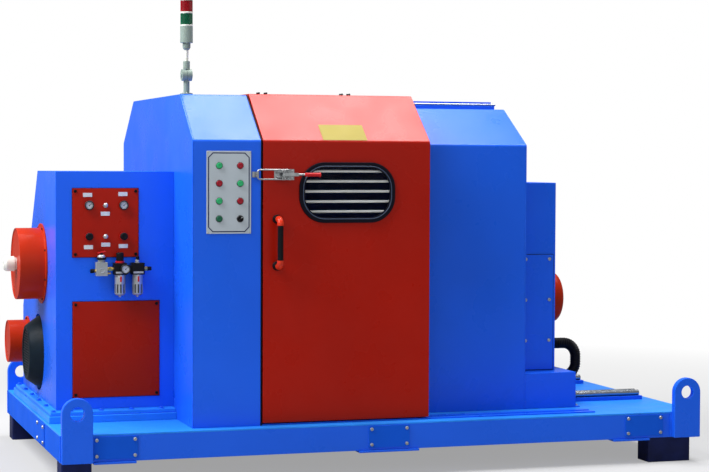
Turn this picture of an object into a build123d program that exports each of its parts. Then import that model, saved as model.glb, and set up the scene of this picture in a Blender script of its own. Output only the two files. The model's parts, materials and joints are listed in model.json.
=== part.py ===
"""Single twist stranding machine: base, two headstocks, a sheet hood and its sliding door.

X runs along the machine from the wire inlet, Y from the front to the rear, Z up from the floor.
All lengths are in millimetres.
"""
import os

from build123d import *

# Base frame
BASE_LENGTH = 2870
BASE_DEPTH = 1622
BASE_HEIGHT = 115
DECK_THICKNESS = 8
MEMBER_WALL = 8
MEMBER_FLANGE = 60
CROSS_WIDTH = 80
CROSS_WALL = 6
CROSS_PLACE_SHARES = (0.08, 0.2, 0.4, 0.6, 0.78, 0.92)
FOOT_HEIGHT = 112
LEFT_FOOT_LENGTH = 125
RIGHT_FOOT_LENGTH = 206
FOOT_DEPTH = 110
LEFT_FOOT_INSET = 4
RIGHT_FOOT_INSET = 28
FOOT_FACE_INSET = 14
FOOT_CHAMFER = 3

# Bolted covers and levelling pads of the base
COVER_LENGTH = 186
COVER_HEIGHT = 94
COVER_THICKNESS = 4
COVER_LEFT_GAP = 4
COVER_RIGHT_GAP = 43
COVER_MIDDLE_SHARE = 0.489
END_COVER_PLACE = 190
PAD_END_LENGTH = 176
PAD_MIDDLE_LENGTH = 270
PAD_FOOT_GAP = 5
PAD_DEPTH = 150
PAD_THICKNESS = 9
PAD_REACH = 10

# Lifting lugs
LUG_WIDTH = 128
LUG_THICKNESS = 30
LUG_HOLE_HEIGHT = 88
LUG_HOLE_RADIUS = 29

# Hood, left section
HOOD_LEFT = 557
HOOD_LEFT_LENGTH = 293
HOOD_MARGIN = 56
HOOD_SHOULDER = 1200
HOOD_TOP = 1398
HOOD_SETBACK = 250
HOOD_WALL = 6
HOOD_FLANGE = 60
BEND_RADIUS = 14

# Sliding door
DOOR_GAP = 10
SEAL_THICKNESS = 5
DOOR_WIDTH = 744
DOOR_TOP = 1404
DOOR_SETBACK = 250
DOOR_FOOT_GAP = 11
DOOR_WALL = 5
DOOR_TOP_DEPTH = 365
DOOR_LEFT_RETURN = 25
DOOR_RUN_GAP = 8

# Hood, right section and fixed rear
RIGHT_END = 2140
RIGHT_OVERLAP = 44
RIGHT_FRONT_INSET = 202
RIGHT_SHOULDER = 1191
RIGHT_TOP = 1358
RIGHT_FRONT_SETBACK = 275
RIGHT_REAR_SETBACK = 211
REAR_LIP = 40

# Door rail on the hood's top
RAIL_FRONT_GAP = 10
RAIL_BEAM_WIDTH = 26
RAIL_BEAM_HEIGHT = 16
RAIL_RADIUS = 5
RAIL_END_GAP = 44
RAIL_TIP = 8
RAIL_ANGLE_GAP = 30
RAIL_ANGLE_WALL = 6
RAIL_ANGLE_WIDTH = 30
RAIL_ANGLE_RUN_GAP = 6
CARRIAGE_LENGTH = 70
CARRIAGE_WIDTH = 46
CARRIAGE_GAP = 0.3
CARRIAGE_DROP = 1
CARRIAGE_PLACE_SHARES = (0.17, 0.69)

# Floor guide bars under the door
GUIDE_WIDTH = 32
GUIDE_HEIGHT = 6
GUIDE_FRONT_INSET = 6
GUIDE_SPACING = 66
GUIDE_END = 2396

# Window in the door
WINDOW_LEFT = 157
WINDOW_WIDTH = 426
WINDOW_HEIGHT = 257
WINDOW_CENTRE_HEIGHT = 982
WINDOW_CORNER = 112
GASKET_WIDTH = 24
GASKET_LAP = 12
GASKET_THICKNESS = 10
GASKET_ROUND = 3
GUARD_BAR_RADIUS = 5.5
GUARD_BAR_SPACING = 43
GUARD_BAR_COUNT = 5
GUARD_BAR_RISE = 5
GUARD_STRIP_WIDTH = 14
GUARD_STRIP_DEPTH = 22
GUARD_STRIP_GAP = 8

# Door handle
HANDLE_LEFT = 60
HANDLE_CENTRE_HEIGHT = 772
HANDLE_SPACING = 198
HANDLE_STANDOFF = 58
HANDLE_RADIUS = 12
HANDLE_END_RADIUS = 14
HANDLE_ELBOW_RADIUS = 26
HANDLE_PAD_RADIUS = 19
HANDLE_PAD_THICKNESS = 6

# Toggle latch
LATCH_HEIGHT = 1058
LATCH_PIVOT = 85
LATCH_STANDOFF = 24
LATCH_BASE_LEFT = 38
LATCH_BASE_RIGHT = 49
LATCH_BASE_WIDTH = 46
LATCH_BASE_THICKNESS = 4
LATCH_CHEEK_GAP = 18
LATCH_CHEEK_WALL = 3
LATCH_CHEEK_LENGTH = 40
LATCH_CHEEK_TIP = 7
LATCH_PIN_RADIUS = 3
LATCH_PIN_GAP = 0.3
LATCH_THROW = 24
LATCH_LEVER_WIDTH = 14
LATCH_LEVER_THICKNESS = 10
LATCH_LEVER_TAIL = 7.5
LATCH_LEVER_LENGTH = 62
LATCH_ROD_RADIUS = 5
LATCH_GRIP_START = 89
LATCH_GRIP_LENGTH = 70
LATCH_GRIP_RADIUS = 8
GRIP_FLANGE_RADIUS = 11
GRIP_FLANGE_LENGTH = 5
BAIL_SPAN = 40
BAIL_RADIUS = 3.5
BAIL_LENGTH = 138
BAIL_BEND = 9
BAIL_EYE_RADIUS = 7
BAIL_EYE_WIDTH = 6
KEEPER_LENGTH = 30
KEEPER_WIDTH = 24
KEEPER_HEIGHT = 14
KEEPER_PLATE = 4
KEEPER_LIP = 8
KEEPER_EDGE_GAP = 9

# Control plate and its buttons
PLATE_LEFT = 59
PLATE_WIDTH = 191
PLATE_HEIGHT = 345
PLATE_FOOT = 811
PLATE_THICKNESS = 3
BUTTON_COLUMN_SHARES = (0.283, 0.754)
BUTTON_ROW_SHARES = (0.823, 0.608, 0.394, 0.18)
BEZEL_RADIUS = 15
BEZEL_HEIGHT = 4
BUTTON_RADIUS = 12
BUTTON_HEIGHT = 10
BUTTON_CROWN = 3
SELECTOR_BAR_WIDTH = 7
SELECTOR_BAR_HEIGHT = 8

# Left headstock housing
STOCK_LEFT = 45
STOCK_FRONT_INSET = 412
STOCK_TOP = 1068
STOCK_TOP_REAR_INSET = 686
STOCK_REAR_INSET = 211
STOCK_REAR_KNEE = 430
PLINTH_HEIGHT = 30
PLINTH_MARGIN = 58
PLINTH_END_MARGIN = 38
FLANGE_THICKNESS = 16
FLANGE_MARGIN = 42
FLANGE_END_MARGIN = 30
SEAM_GAP = 5

# Round covers on the left end
AXIS_HEIGHT = 657
DRUM_RADIUS = 158
DRUM_FLANGE_RADIUS = 178
DRUM_LENGTH = 117
DRUM_FLANGE_THICKNESS = 7
DRUM_RIM = 5
DRUM_RIM_DEPTH = 4
LOW_DRUM_RADIUS = 98
LOW_DRUM_FLANGE_RADIUS = 115
LOW_DRUM_LENGTH = 96
LOW_DRUM_INSET = 160
LOW_DRUM_HEIGHT = 273
NOZZLE_REACH = 125
NOZZLE_RADIUS = 33
NOZZLE_COLLAR_RADIUS = 27
NOZZLE_COLLAR_LENGTH = 9
NOZZLE_TIP_RADIUS = 24
NOZZLE_TIP_LENGTH = 12
NOZZLE_BORE_RADIUS = 8
COWL_DRUM_SPACING = 330
COWL_HEIGHT = 252
COWL_HOLE_RADIUS = 172
COWL_HOLE_DEPTH = 26
COWL_BASE_RADIUS = 163
COWL_END_RADIUS = 122
COWL_REACH = 57
COWL_RIM = 9
COWL_GRILLE_DEPTH = 5
COWL_RING_COUNT = 4
COWL_RING_WIDTH = 10

# Gauge panel
PANEL_LEFT = 71
PANEL_WIDTH = 284
PANEL_FOOT = 702
PANEL_HEIGHT = 293
PANEL_THICKNESS = 4
PANEL_COLUMN_SHARES = (0.247, 0.498, 0.77)
PANEL_GAUGE_ROW_SHARE = 0.755
PANEL_KNOB_ROW_SHARE = 0.3
GAUGE_RADIUS = 20
GAUGE_DEPTH = 18
GAUGE_BEZEL = 3
GAUGE_DISH = 3
KNOB_RADIUS = 17
KNOB_DEPTH = 24
KNOB_NECK_RADIUS = 10
KNOB_NECK_DEPTH = 7
KNOB_FLUTES = 12
KNOB_FLUTE_RADIUS = 2.4
PILOT_RADIUS = 9
PILOT_DEPTH = 16
PILOT_NECK_RADIUS = 5
PILOT_NECK_DEPTH = 5

# Lower access panel of the left headstock
ACCESS_LEFT = 72
ACCESS_WIDTH = 374
ACCESS_FOOT = 101
ACCESS_HEIGHT = 410

# Air service set under the gauge panel
AIR_STANDOFF = 34
AIR_LINE_HEIGHT = 652
AIR_BRACKET_WIDTH = 34
AIR_BRACKET_HEIGHT = 30
VALVE_LEFT = 166
VALVE_WIDTH = 47
VALVE_HEIGHT = 58
VALVE_DEPTH = 40
VALVE_NECK_RADIUS = 13
VALVE_NECK_HEIGHT = 14
VALVE_DOME_RADIUS = 18
VALVE_DOME_HEIGHT = 16
VALVE_LEVER_WIDTH = 14
VALVE_LEVER_LENGTH = 46
VALVE_LEVER_THICKNESS = 5
FITTING_RADIUS = 9
FITTING_LENGTH = 32
NIPPLE_RADIUS = 8
NIPPLE_LENGTH = 28
AIR_BODY_WIDTH = 56
AIR_BODY_HEIGHT = 50
AIR_BODY_DEPTH = 46
AIR_BODY_ROUND = 6
AIR_BODY_SPACING = 76
AIR_LINK_HEIGHT = 30
AIR_LINK_DEPTH = 30
AIR_KNOB_RADIUS = 15
AIR_KNOB_HEIGHT = 44
AIR_KNOB_NECK = 10
SIGHT_RADIUS = 9
SIGHT_HEIGHT = 16
BOWL_RADIUS = 23
BOWL_HEIGHT = 88
BOWL_ROUND = 10
BOWL_DRAIN_RADIUS = 5
BOWL_DRAIN_HEIGHT = 9
AIR_GAUGE_RADIUS = 21
AIR_GAUGE_SHIFT = 18

# Right headstock, its covers and the terminal box
TAIL_END = 2325
TAIL_FRONT_INSET = 350
TAIL_TOP = 1022
TAIL_COVER_FOOT = 168
TAIL_COVER_TOP = 693
TAIL_COVER_MARGIN = 14
TAIL_COVER_THICKNESS = 5
TAIL_DRUM_RADIUS = 118
TAIL_DRUM_LENGTH = 100
TAIL_DRUM_ROUND = 24
TAIL_DRUM_INSET = 231
TAIL_DRUM_HEIGHT = 482
BOX_END = 2390
BOX_HEIGHT = 162
BOX_DEPTH = 290
BOX_FLANGE = 22
BOX_FLANGE_THICKNESS = 6

# Corrugated conduit from the right headstock round into the end of the terminal box
CONDUIT_RADIUS = 25
CONDUIT_INSET = 99
CONDUIT_HEIGHT = 276
CONDUIT_RETURN_HEIGHT = 122
CONDUIT_OUT = 82
CONDUIT_BEND = 62
CONDUIT_NUT_RADIUS = 32
CONDUIT_NUT_LENGTH = 16

# Twin rails on the deck at the right end
DECK_RAIL_Y = 330
DECK_RAIL_START = 2335
DECK_RAIL_END = 2814
DECK_RAIL_WIDTH = 84
DECK_RAIL_HEIGHT = 18
DECK_RAIL_RADIUS = 13
DECK_RAIL_SPACING = 42
DECK_RAIL_END_GAP = 12

# Signal tower
TOWER_X = 600
TOWER_INSET = 304
TOWER_FOOT_RADIUS = 27
TOWER_FOOT_HEIGHT = 6
TOWER_STEM_RADIUS = 13
TOWER_HINGE_HEIGHT = 1482
TOWER_EAR_RADIUS = 25
TOWER_EAR_WIDTH = 21
TOWER_EAR_GAP = 1
TOWER_PIN_RADIUS = 5
TOWER_PIN_GAP = 0.3
TOWER_SLEEVE_RADIUS = 14.5
TOWER_SLEEVE_TOP = 1541
TOWER_POLE_RADIUS = 8
TOWER_TAPER_FOOT = 1590
TOWER_TAPER_RADIUS = 11
TOWER_COLLAR_FOOT = 1600
TOWER_COLLAR_RADIUS = 17
TOWER_BODY_FOOT = 1620
TOWER_BODY_RADIUS = 27
TOWER_BODY_TOP = 1690
TOWER_BAND_HEIGHT = 8
TOWER_BAND_RADIUS = 25.5
TOWER_LENS_HEIGHT = 47
TOWER_LENS_RADIUS = 26.5
TOWER_CAP_HEIGHT = 5

# Small shared values
CUT_OVERRUN = 20

# Places worked out from the sizes above
BASE_LEFT = (NOZZLE_REACH - BASE_LENGTH) / 2
BASE_RIGHT = BASE_LEFT + BASE_LENGTH
BASE_FRONT = -BASE_DEPTH / 2
BASE_REAR = BASE_DEPTH / 2
BASE_FOOT = FOOT_HEIGHT
LEFT_FOOT_X0 = BASE_LEFT + LEFT_FOOT_INSET
LEFT_FOOT_X1 = LEFT_FOOT_X0 + LEFT_FOOT_LENGTH
RIGHT_FOOT_X1 = BASE_RIGHT - RIGHT_FOOT_INSET
RIGHT_FOOT_X0 = RIGHT_FOOT_X1 - RIGHT_FOOT_LENGTH
DECK_TOP = FOOT_HEIGHT + BASE_HEIGHT
DECK_FOOT = DECK_TOP - DECK_THICKNESS
COVER_STARTS = (BASE_LEFT + LUG_WIDTH + COVER_LEFT_GAP,
                BASE_LEFT + COVER_MIDDLE_SHARE * BASE_LENGTH - COVER_LENGTH / 2,
                BASE_RIGHT - LUG_WIDTH - COVER_RIGHT_GAP - COVER_LENGTH)

HOOD_FRONT = BASE_FRONT + HOOD_MARGIN
HOOD_REAR = BASE_REAR - HOOD_MARGIN
HOOD_X0 = BASE_LEFT + HOOD_LEFT
HOOD_X1 = HOOD_X0 + HOOD_LEFT_LENGTH
DOOR_X0 = HOOD_X1 + DOOR_GAP
DOOR_X1 = DOOR_X0 + DOOR_WIDTH
DOOR_FACE = HOOD_FRONT
DOOR_INNER = DOOR_FACE + DOOR_WALL
DOOR_FOOT = DECK_TOP + DOOR_FOOT_GAP
DOOR_CROWN = DECK_TOP + DOOR_TOP
DOOR_SHOULDER = DECK_TOP + HOOD_SHOULDER
DOOR_TOP_REAR = DOOR_FACE + DOOR_SETBACK + DOOR_TOP_DEPTH
RIGHT_X0 = DOOR_X1 - RIGHT_OVERLAP
RIGHT_X1 = BASE_LEFT + RIGHT_END
RIGHT_FRONT = HOOD_FRONT + RIGHT_FRONT_INSET
RIGHT_CROWN = DECK_TOP + RIGHT_TOP
RIGHT_BROW = RIGHT_FRONT + RIGHT_FRONT_SETBACK
RAIL_Y = RIGHT_BROW + RAIL_FRONT_GAP + RAIL_BEAM_WIDTH / 2
RAIL_X1 = RIGHT_X1 - RAIL_END_GAP
RAIL_Z = RIGHT_CROWN + RAIL_BEAM_HEIGHT + RAIL_RADIUS
RAIL_ANGLE_Y = RAIL_Y + RAIL_ANGLE_GAP
STOCK_X0 = BASE_LEFT + STOCK_LEFT
STOCK_FRONT = BASE_FRONT + STOCK_FRONT_INSET
STOCK_REAR = BASE_REAR - STOCK_REAR_INSET
STOCK_TOP_REAR = BASE_REAR - STOCK_TOP_REAR_INSET
LOW_DRUM_Y = STOCK_REAR - LOW_DRUM_INSET
COWL_Y = LOW_DRUM_Y - COWL_DRUM_SPACING
STOCK_FOOT = DECK_TOP + PLINTH_HEIGHT + FLANGE_THICKNESS + SEAM_GAP
TAIL_X1 = BASE_LEFT + TAIL_END
TAIL_FRONT = BASE_FRONT + TAIL_FRONT_INSET
TAIL_REAR = -TAIL_FRONT
TAIL_DRUM_Y = TAIL_FRONT + TAIL_DRUM_INSET
BOX_X1 = BASE_LEFT + BOX_END
CONDUIT_X = BOX_X1 + CONDUIT_OUT
CONDUIT_Y = TAIL_FRONT + CONDUIT_INSET
CONDUIT_Z = DECK_TOP + CONDUIT_HEIGHT
CONDUIT_RETURN_Z = DECK_TOP + CONDUIT_RETURN_HEIGHT
WINDOW_X = DOOR_X0 + WINDOW_LEFT + WINDOW_WIDTH / 2
WINDOW_Z = DECK_TOP + WINDOW_CENTRE_HEIGHT
LATCH_X = DOOR_X0 + LATCH_PIVOT
LATCH_Y = DOOR_FACE - LATCH_STANDOFF
LATCH_Z = DECK_TOP + LATCH_HEIGHT
BAIL_X = LATCH_X + LATCH_THROW
PANEL_X0 = STOCK_X0 + PANEL_LEFT
PANEL_FACE = STOCK_FRONT - PANEL_THICKNESS
AIR_Y = STOCK_FRONT - AIR_STANDOFF
AIR_Z = DECK_TOP + AIR_LINE_HEIGHT
VALVE_X0 = STOCK_X0 + VALVE_LEFT
VALVE_X1 = VALVE_X0 + VALVE_WIDTH
FILTER_X = VALVE_X1 + NIPPLE_LENGTH + AIR_BODY_WIDTH / 2
LUBRICATOR_X = FILTER_X + AIR_BODY_SPACING
TOWER_X0 = BASE_LEFT + TOWER_X
TOWER_Y = HOOD_FRONT + TOWER_INSET
TOWER_HINGE_Z = DECK_TOP + TOWER_HINGE_HEIGHT


# Shared shapes

def block(x0, x1, y0, y1, z0, z1):
    """Block between two corners."""
    return Pos((x0 + x1) / 2, (y0 + y1) / 2, (z0 + z1) / 2) * Box(x1 - x0, y1 - y0, z1 - z0)


def rod_x(radius, x0, x1, y, z):
    """Round bar along X."""
    return Pos((x0 + x1) / 2, y, z) * Rot(0, 90, 0) * Cylinder(radius, x1 - x0)


def rod_y(radius, y0, y1, x, z):
    """Round bar along Y."""
    return Pos(x, (y0 + y1) / 2, z) * Rot(90, 0, 0) * Cylinder(radius, y1 - y0)


def rod_z(radius, z0, z1, x, y):
    """Round bar along Z."""
    return Pos(x, y, (z0 + z1) / 2) * Cylinder(radius, z1 - z0)


def turned(profile):
    """Solid turned about X from (along, radius) points."""
    return revolve(make_face(Polyline(*profile, close=True)), axis=Axis.X)


def facing_front(shape, x, y, z):
    """Turn a shape made along +X to point to the front, with its back at the place given."""
    return Pos(x, y, z) * Rot(0, 0, -90) * shape


def facing_left(shape, x, y, z):
    """Turn a shape made along +X to point to the left."""
    return Pos(x, y, z) * Rot(0, 0, 180) * shape


def facing_up(shape, x, y, z):
    """Turn a shape made along +X to point up."""
    return Pos(x, y, z) * Rot(0, -90, 0) * shape


def outline_face(points):
    """Face in the YZ plane from (y, z) points."""
    return make_face(Polyline(*[(0, y, z) for y, z in points], close=True))


def along_x(face, x0, x1):
    """Carry a face of the YZ plane from x0 to x1."""
    return extrude(Pos(x0, 0, 0) * face, amount=x1 - x0, dir=(1, 0, 0))


def drawn_in(points, wall):
    """The outline's face, drawn in all round by a wall."""
    return offset(outline_face(points), amount=-wall, kind=Kind.INTERSECTION)


def together(*shapes):
    """One compound of all the shapes' solids."""
    return Compound([solid for shape in shapes for solid in shape.solids()])


# Base

def foot_blocks():
    """Four blocks that carry the base's corners."""
    reach = BASE_DEPTH / 2 - FOOT_FACE_INSET - FOOT_DEPTH / 2
    feet = []
    for x0, x1 in ((LEFT_FOOT_X0, LEFT_FOOT_X1), (RIGHT_FOOT_X0, RIGHT_FOOT_X1)):
        blank = Box(x1 - x0, FOOT_DEPTH, FOOT_HEIGHT)
        foot = chamfer(blank.edges().filter_by(Axis.Z), length=FOOT_CHAMFER)
        feet += [Pos((x0 + x1) / 2, face * reach, FOOT_HEIGHT / 2) * foot for face in (-1, 1)]
    return together(*feet)


def base_deck():
    """Deck plate over the whole base."""
    return block(BASE_LEFT, BASE_RIGHT, BASE_FRONT, BASE_REAR, DECK_FOOT, DECK_TOP)


def channel_outline(web, tip, inward):
    """Channel section with its web at one Y and its flanges towards the middle."""
    inner = web + inward * MEMBER_WALL
    low = BASE_FOOT + MEMBER_WALL
    high = DECK_FOOT - MEMBER_WALL
    return [(web, BASE_FOOT), (tip, BASE_FOOT), (tip, low), (inner, low),
            (inner, high), (tip, high), (tip, DECK_FOOT), (web, DECK_FOOT)]


def base_side_members():
    """Front and rear channels of the base."""
    x0 = BASE_LEFT + MEMBER_WALL
    x1 = BASE_RIGHT - MEMBER_WALL
    members = []
    for web, inward in ((BASE_FRONT, 1), (BASE_REAR, -1)):
        outline = channel_outline(web, web + inward * MEMBER_FLANGE, inward)
        members.append(along_x(outline_face(outline), x0, x1))
    return together(*members)


def base_end_members():
    """End plates of the base with their inner flanges."""
    y0 = BASE_FRONT + MEMBER_FLANGE
    y1 = BASE_REAR - MEMBER_FLANGE
    members = []
    for end, inward in ((BASE_LEFT, 1), (BASE_RIGHT, -1)):
        inner = sorted((end, end + inward * MEMBER_WALL))
        tip = sorted((end, end + inward * MEMBER_FLANGE))
        plate = block(*inner, BASE_FRONT, BASE_REAR, BASE_FOOT, DECK_FOOT)
        low = block(*tip, y0, y1, BASE_FOOT, BASE_FOOT + MEMBER_WALL)
        high = block(*tip, y0, y1, DECK_FOOT - MEMBER_WALL, DECK_FOOT)
        members.append(plate + low + high)
    return together(*members)


def base_cross_members():
    """Square tubes across the base between the channels."""
    y0 = BASE_FRONT + MEMBER_FLANGE
    y1 = BASE_REAR - MEMBER_FLANGE
    members = []
    for share in CROSS_PLACE_SHARES:
        x0 = BASE_LEFT + share * BASE_LENGTH - CROSS_WIDTH / 2
        x1 = x0 + CROSS_WIDTH
        tube = block(x0, x1, y0, y1, BASE_FOOT, DECK_FOOT)
        hollow = block(x0 + CROSS_WALL, x1 - CROSS_WALL, y0, y1,
                       BASE_FOOT + CROSS_WALL, DECK_FOOT - CROSS_WALL)
        members.append(tube - hollow)
    return together(*members)


def base_cover_plates():
    """Bolted covers on the long faces and on both ends."""
    z0 = BASE_FOOT + (BASE_HEIGHT - COVER_HEIGHT) / 2
    z1 = z0 + COVER_HEIGHT
    covers = []
    for x0 in COVER_STARTS:
        x1 = x0 + COVER_LENGTH
        covers.append(block(x0, x1, BASE_FRONT - COVER_THICKNESS, BASE_FRONT, z0, z1))
        covers.append(block(x0, x1, BASE_REAR, BASE_REAR + COVER_THICKNESS, z0, z1))
    y0 = -END_COVER_PLACE - COVER_LENGTH
    y1 = -END_COVER_PLACE
    covers.append(block(BASE_LEFT - COVER_THICKNESS, BASE_LEFT, y0, y1, z0, z1))
    return together(*covers)


def base_pad_plates():
    """Levelling pads under the base beside the covers."""
    z0 = BASE_FOOT - PAD_THICKNESS
    middle = BASE_LEFT + COVER_MIDDLE_SHARE * BASE_LENGTH
    left = LEFT_FOOT_X1 + PAD_FOOT_GAP
    right = RIGHT_FOOT_X0 - PAD_FOOT_GAP
    spans = [(left, left + PAD_END_LENGTH), (right - PAD_END_LENGTH, right),
             (middle - PAD_MIDDLE_LENGTH / 2, middle + PAD_MIDDLE_LENGTH / 2)]
    pads = []
    for x0, x1 in spans:
        for y0 in (BASE_FRONT - PAD_REACH, BASE_REAR + PAD_REACH - PAD_DEPTH):
            pads.append(block(x0, x1, y0, y0 + PAD_DEPTH, z0, BASE_FOOT))
    return together(*pads)


def lifting_lug(x0):
    """One upright plate with a round head and a lifting hole, on the front face."""
    radius = LUG_WIDTH / 2
    middle = x0 + radius
    hole_z = DECK_TOP + LUG_HOLE_HEIGHT
    y0 = BASE_FRONT - LUG_THICKNESS
    plate = block(x0, x0 + LUG_WIDTH, y0, BASE_FRONT, BASE_FOOT, hole_z)
    head = rod_y(radius, y0, BASE_FRONT, middle, hole_z)
    hole = rod_y(LUG_HOLE_RADIUS, y0 - CUT_OVERRUN, BASE_FRONT + CUT_OVERRUN, middle, hole_z)
    return plate + head - hole


def lifting_lugs():
    """Four lugs, one at each corner of the base."""
    lugs = [lifting_lug(x0) for x0 in (BASE_LEFT, BASE_RIGHT - LUG_WIDTH)]
    return together(*lugs, *[mirror(lug, about=Plane.XZ) for lug in lugs])


# Left headstock

def headstock_plinth():
    """Machined plate on the deck under the left headstock."""
    x0 = STOCK_X0 - PLINTH_END_MARGIN
    y0 = STOCK_FRONT - PLINTH_MARGIN
    return block(x0, HOOD_X0, y0, STOCK_REAR + PLINTH_MARGIN, DECK_TOP, DECK_TOP + PLINTH_HEIGHT)


def headstock_flange():
    """Foot flange of the left headstock, with the raised seat of its walls."""
    x0 = STOCK_X0 - FLANGE_END_MARGIN
    y0 = STOCK_FRONT - FLANGE_MARGIN
    z0 = DECK_TOP + PLINTH_HEIGHT
    z1 = z0 + FLANGE_THICKNESS
    flange = block(x0, HOOD_X0, y0, STOCK_REAR + FLANGE_MARGIN, z0, z1)
    seat = block(STOCK_X0, HOOD_X0, STOCK_FRONT, STOCK_REAR, z1, STOCK_FOOT)
    return flange + seat


def headstock_housing():
    """Closed housing with an upright front and a sloping rear, and the fan's round recess."""
    top = DECK_TOP + STOCK_TOP
    knee = DECK_TOP + STOCK_REAR_KNEE
    outline = [(STOCK_FRONT, STOCK_FOOT), (STOCK_FRONT, top), (STOCK_TOP_REAR, top),
               (STOCK_REAR, knee), (STOCK_REAR, STOCK_FOOT)]
    body = along_x(outline_face(outline), STOCK_X0, HOOD_X0)
    recess = rod_x(COWL_HOLE_RADIUS, STOCK_X0 - CUT_OVERRUN, STOCK_X0 + COWL_HOLE_DEPTH,
                   COWL_Y, DECK_TOP + COWL_HEIGHT)
    return body - recess


def drum_cover(radius, flange_radius, length):
    """Round cover with a wall flange and a shallow dished end inside its rim."""
    dish = length - DRUM_RIM_DEPTH
    inner = radius - DRUM_RIM
    return turned([(0, 0), (0, flange_radius), (DRUM_FLANGE_THICKNESS, flange_radius),
                   (DRUM_FLANGE_THICKNESS, radius), (length, radius), (length, inner),
                   (dish, inner), (dish, 0)])


def upper_drum_cover():
    """Large round cover about the wire's line."""
    cover = drum_cover(DRUM_RADIUS, DRUM_FLANGE_RADIUS, DRUM_LENGTH)
    return facing_left(cover, STOCK_X0, 0, DECK_TOP + AXIS_HEIGHT)


def lower_drum_cover():
    """Smaller round cover low at the rear."""
    cover = drum_cover(LOW_DRUM_RADIUS, LOW_DRUM_FLANGE_RADIUS, LOW_DRUM_LENGTH)
    return facing_left(cover, STOCK_X0, LOW_DRUM_Y, DECK_TOP + LOW_DRUM_HEIGHT)


def wire_guide_nozzle():
    """Bored guide that the wire enters by, on the large cover's end."""
    seat = DRUM_LENGTH - DRUM_RIM_DEPTH
    tip = STOCK_LEFT + NOZZLE_REACH
    body = tip - NOZZLE_TIP_LENGTH
    collar = seat + NOZZLE_COLLAR_LENGTH
    nozzle = turned([(seat, NOZZLE_BORE_RADIUS), (seat, NOZZLE_COLLAR_RADIUS),
                     (collar, NOZZLE_COLLAR_RADIUS), (collar, NOZZLE_RADIUS), (body, NOZZLE_RADIUS),
                     (tip, NOZZLE_TIP_RADIUS), (tip, NOZZLE_BORE_RADIUS)])
    return facing_left(nozzle, STOCK_X0, 0, DECK_TOP + AXIS_HEIGHT)


def motor_fan_cowl():
    """Tapered fan cowl in the housing's recess, with raised rings on its open end."""
    end = COWL_HOLE_DEPTH + COWL_REACH
    dish = end - COWL_GRILLE_DEPTH
    cowl = turned([(0, 0), (0, COWL_BASE_RADIUS), (COWL_HOLE_DEPTH, COWL_BASE_RADIUS),
                   (end, COWL_END_RADIUS), (end, COWL_END_RADIUS - COWL_RIM),
                   (dish, COWL_END_RADIUS - COWL_RIM), (dish, 0)])
    pitch = (COWL_END_RADIUS - COWL_RIM) / (COWL_RING_COUNT + 1 / 2)
    for number in range(COWL_RING_COUNT):
        outer = pitch * (number + 1)
        inner = max(outer - COWL_RING_WIDTH, 0)
        cowl += turned([(dish, inner), (dish, outer), (end, outer), (end, inner)])
    return facing_left(cowl, STOCK_X0 + COWL_HOLE_DEPTH, COWL_Y, DECK_TOP + COWL_HEIGHT)


# Gauge panel and air service set

def gauge_panel():
    """Upper panel on the left headstock's front."""
    z0 = DECK_TOP + PANEL_FOOT
    return block(PANEL_X0, PANEL_X0 + PANEL_WIDTH, PANEL_FACE, STOCK_FRONT, z0, z0 + PANEL_HEIGHT)


def access_panel():
    """Lower bolted panel on the left headstock's front."""
    x0 = STOCK_X0 + ACCESS_LEFT
    z0 = DECK_TOP + ACCESS_FOOT
    return block(x0, x0 + ACCESS_WIDTH, PANEL_FACE, STOCK_FRONT, z0, z0 + ACCESS_HEIGHT)


def panel_place(column, row_share):
    """X and Z of a place on the gauge panel."""
    x = PANEL_X0 + PANEL_COLUMN_SHARES[column] * PANEL_WIDTH
    return x, DECK_TOP + PANEL_FOOT + row_share * PANEL_HEIGHT


def gauge(radius):
    """Dial gauge with a bezel round a sunk dial."""
    dish = GAUGE_DEPTH - GAUGE_DISH
    inner = radius - GAUGE_BEZEL
    return turned([(0, 0), (0, radius), (GAUGE_DEPTH, radius), (GAUGE_DEPTH, inner), (dish, inner), (dish, 0)])


def pressure_gauges():
    """The panel's two gauges and the regulator's own."""
    gauges = []
    for column in (0, -1):
        x, z = panel_place(column, PANEL_GAUGE_ROW_SHARE)
        gauges.append(facing_front(gauge(GAUGE_RADIUS), x, PANEL_FACE, z))
    face = AIR_Y - AIR_BODY_DEPTH / 2
    gauges.append(facing_front(gauge(AIR_GAUGE_RADIUS), FILTER_X + AIR_GAUGE_SHIFT, face, AIR_Z))
    return together(*gauges)


def panel_knob():
    """Fluted regulator knob on a neck."""
    knob = turned([(0, 0), (0, KNOB_NECK_RADIUS), (KNOB_NECK_DEPTH, KNOB_NECK_RADIUS),
                   (KNOB_NECK_DEPTH, KNOB_RADIUS), (KNOB_DEPTH, KNOB_RADIUS), (KNOB_DEPTH, 0)])
    flute = rod_x(KNOB_FLUTE_RADIUS, KNOB_NECK_DEPTH, KNOB_DEPTH + CUT_OVERRUN, KNOB_RADIUS, 0)
    flutes = [Rot(360 * number / KNOB_FLUTES, 0, 0) * flute for number in range(KNOB_FLUTES)]
    return knob - flutes


def pilot_knob():
    """Small plain knob on a neck."""
    return turned([(0, 0), (0, PILOT_NECK_RADIUS), (PILOT_NECK_DEPTH, PILOT_NECK_RADIUS),
                   (PILOT_NECK_DEPTH, PILOT_RADIUS), (PILOT_DEPTH, PILOT_RADIUS), (PILOT_DEPTH, 0)])


def panel_knobs():
    """Two pressure knobs on the gauge panel and two small ones in its middle."""
    knobs = []
    for column in (0, -1):
        x, z = panel_place(column, PANEL_KNOB_ROW_SHARE)
        knobs.append(facing_front(panel_knob(), x, PANEL_FACE, z))
    for row_share in (PANEL_GAUGE_ROW_SHARE, PANEL_KNOB_ROW_SHARE):
        x, z = panel_place(1, row_share)
        knobs.append(facing_front(pilot_knob(), x, PANEL_FACE, z))
    return together(*knobs)


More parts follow.
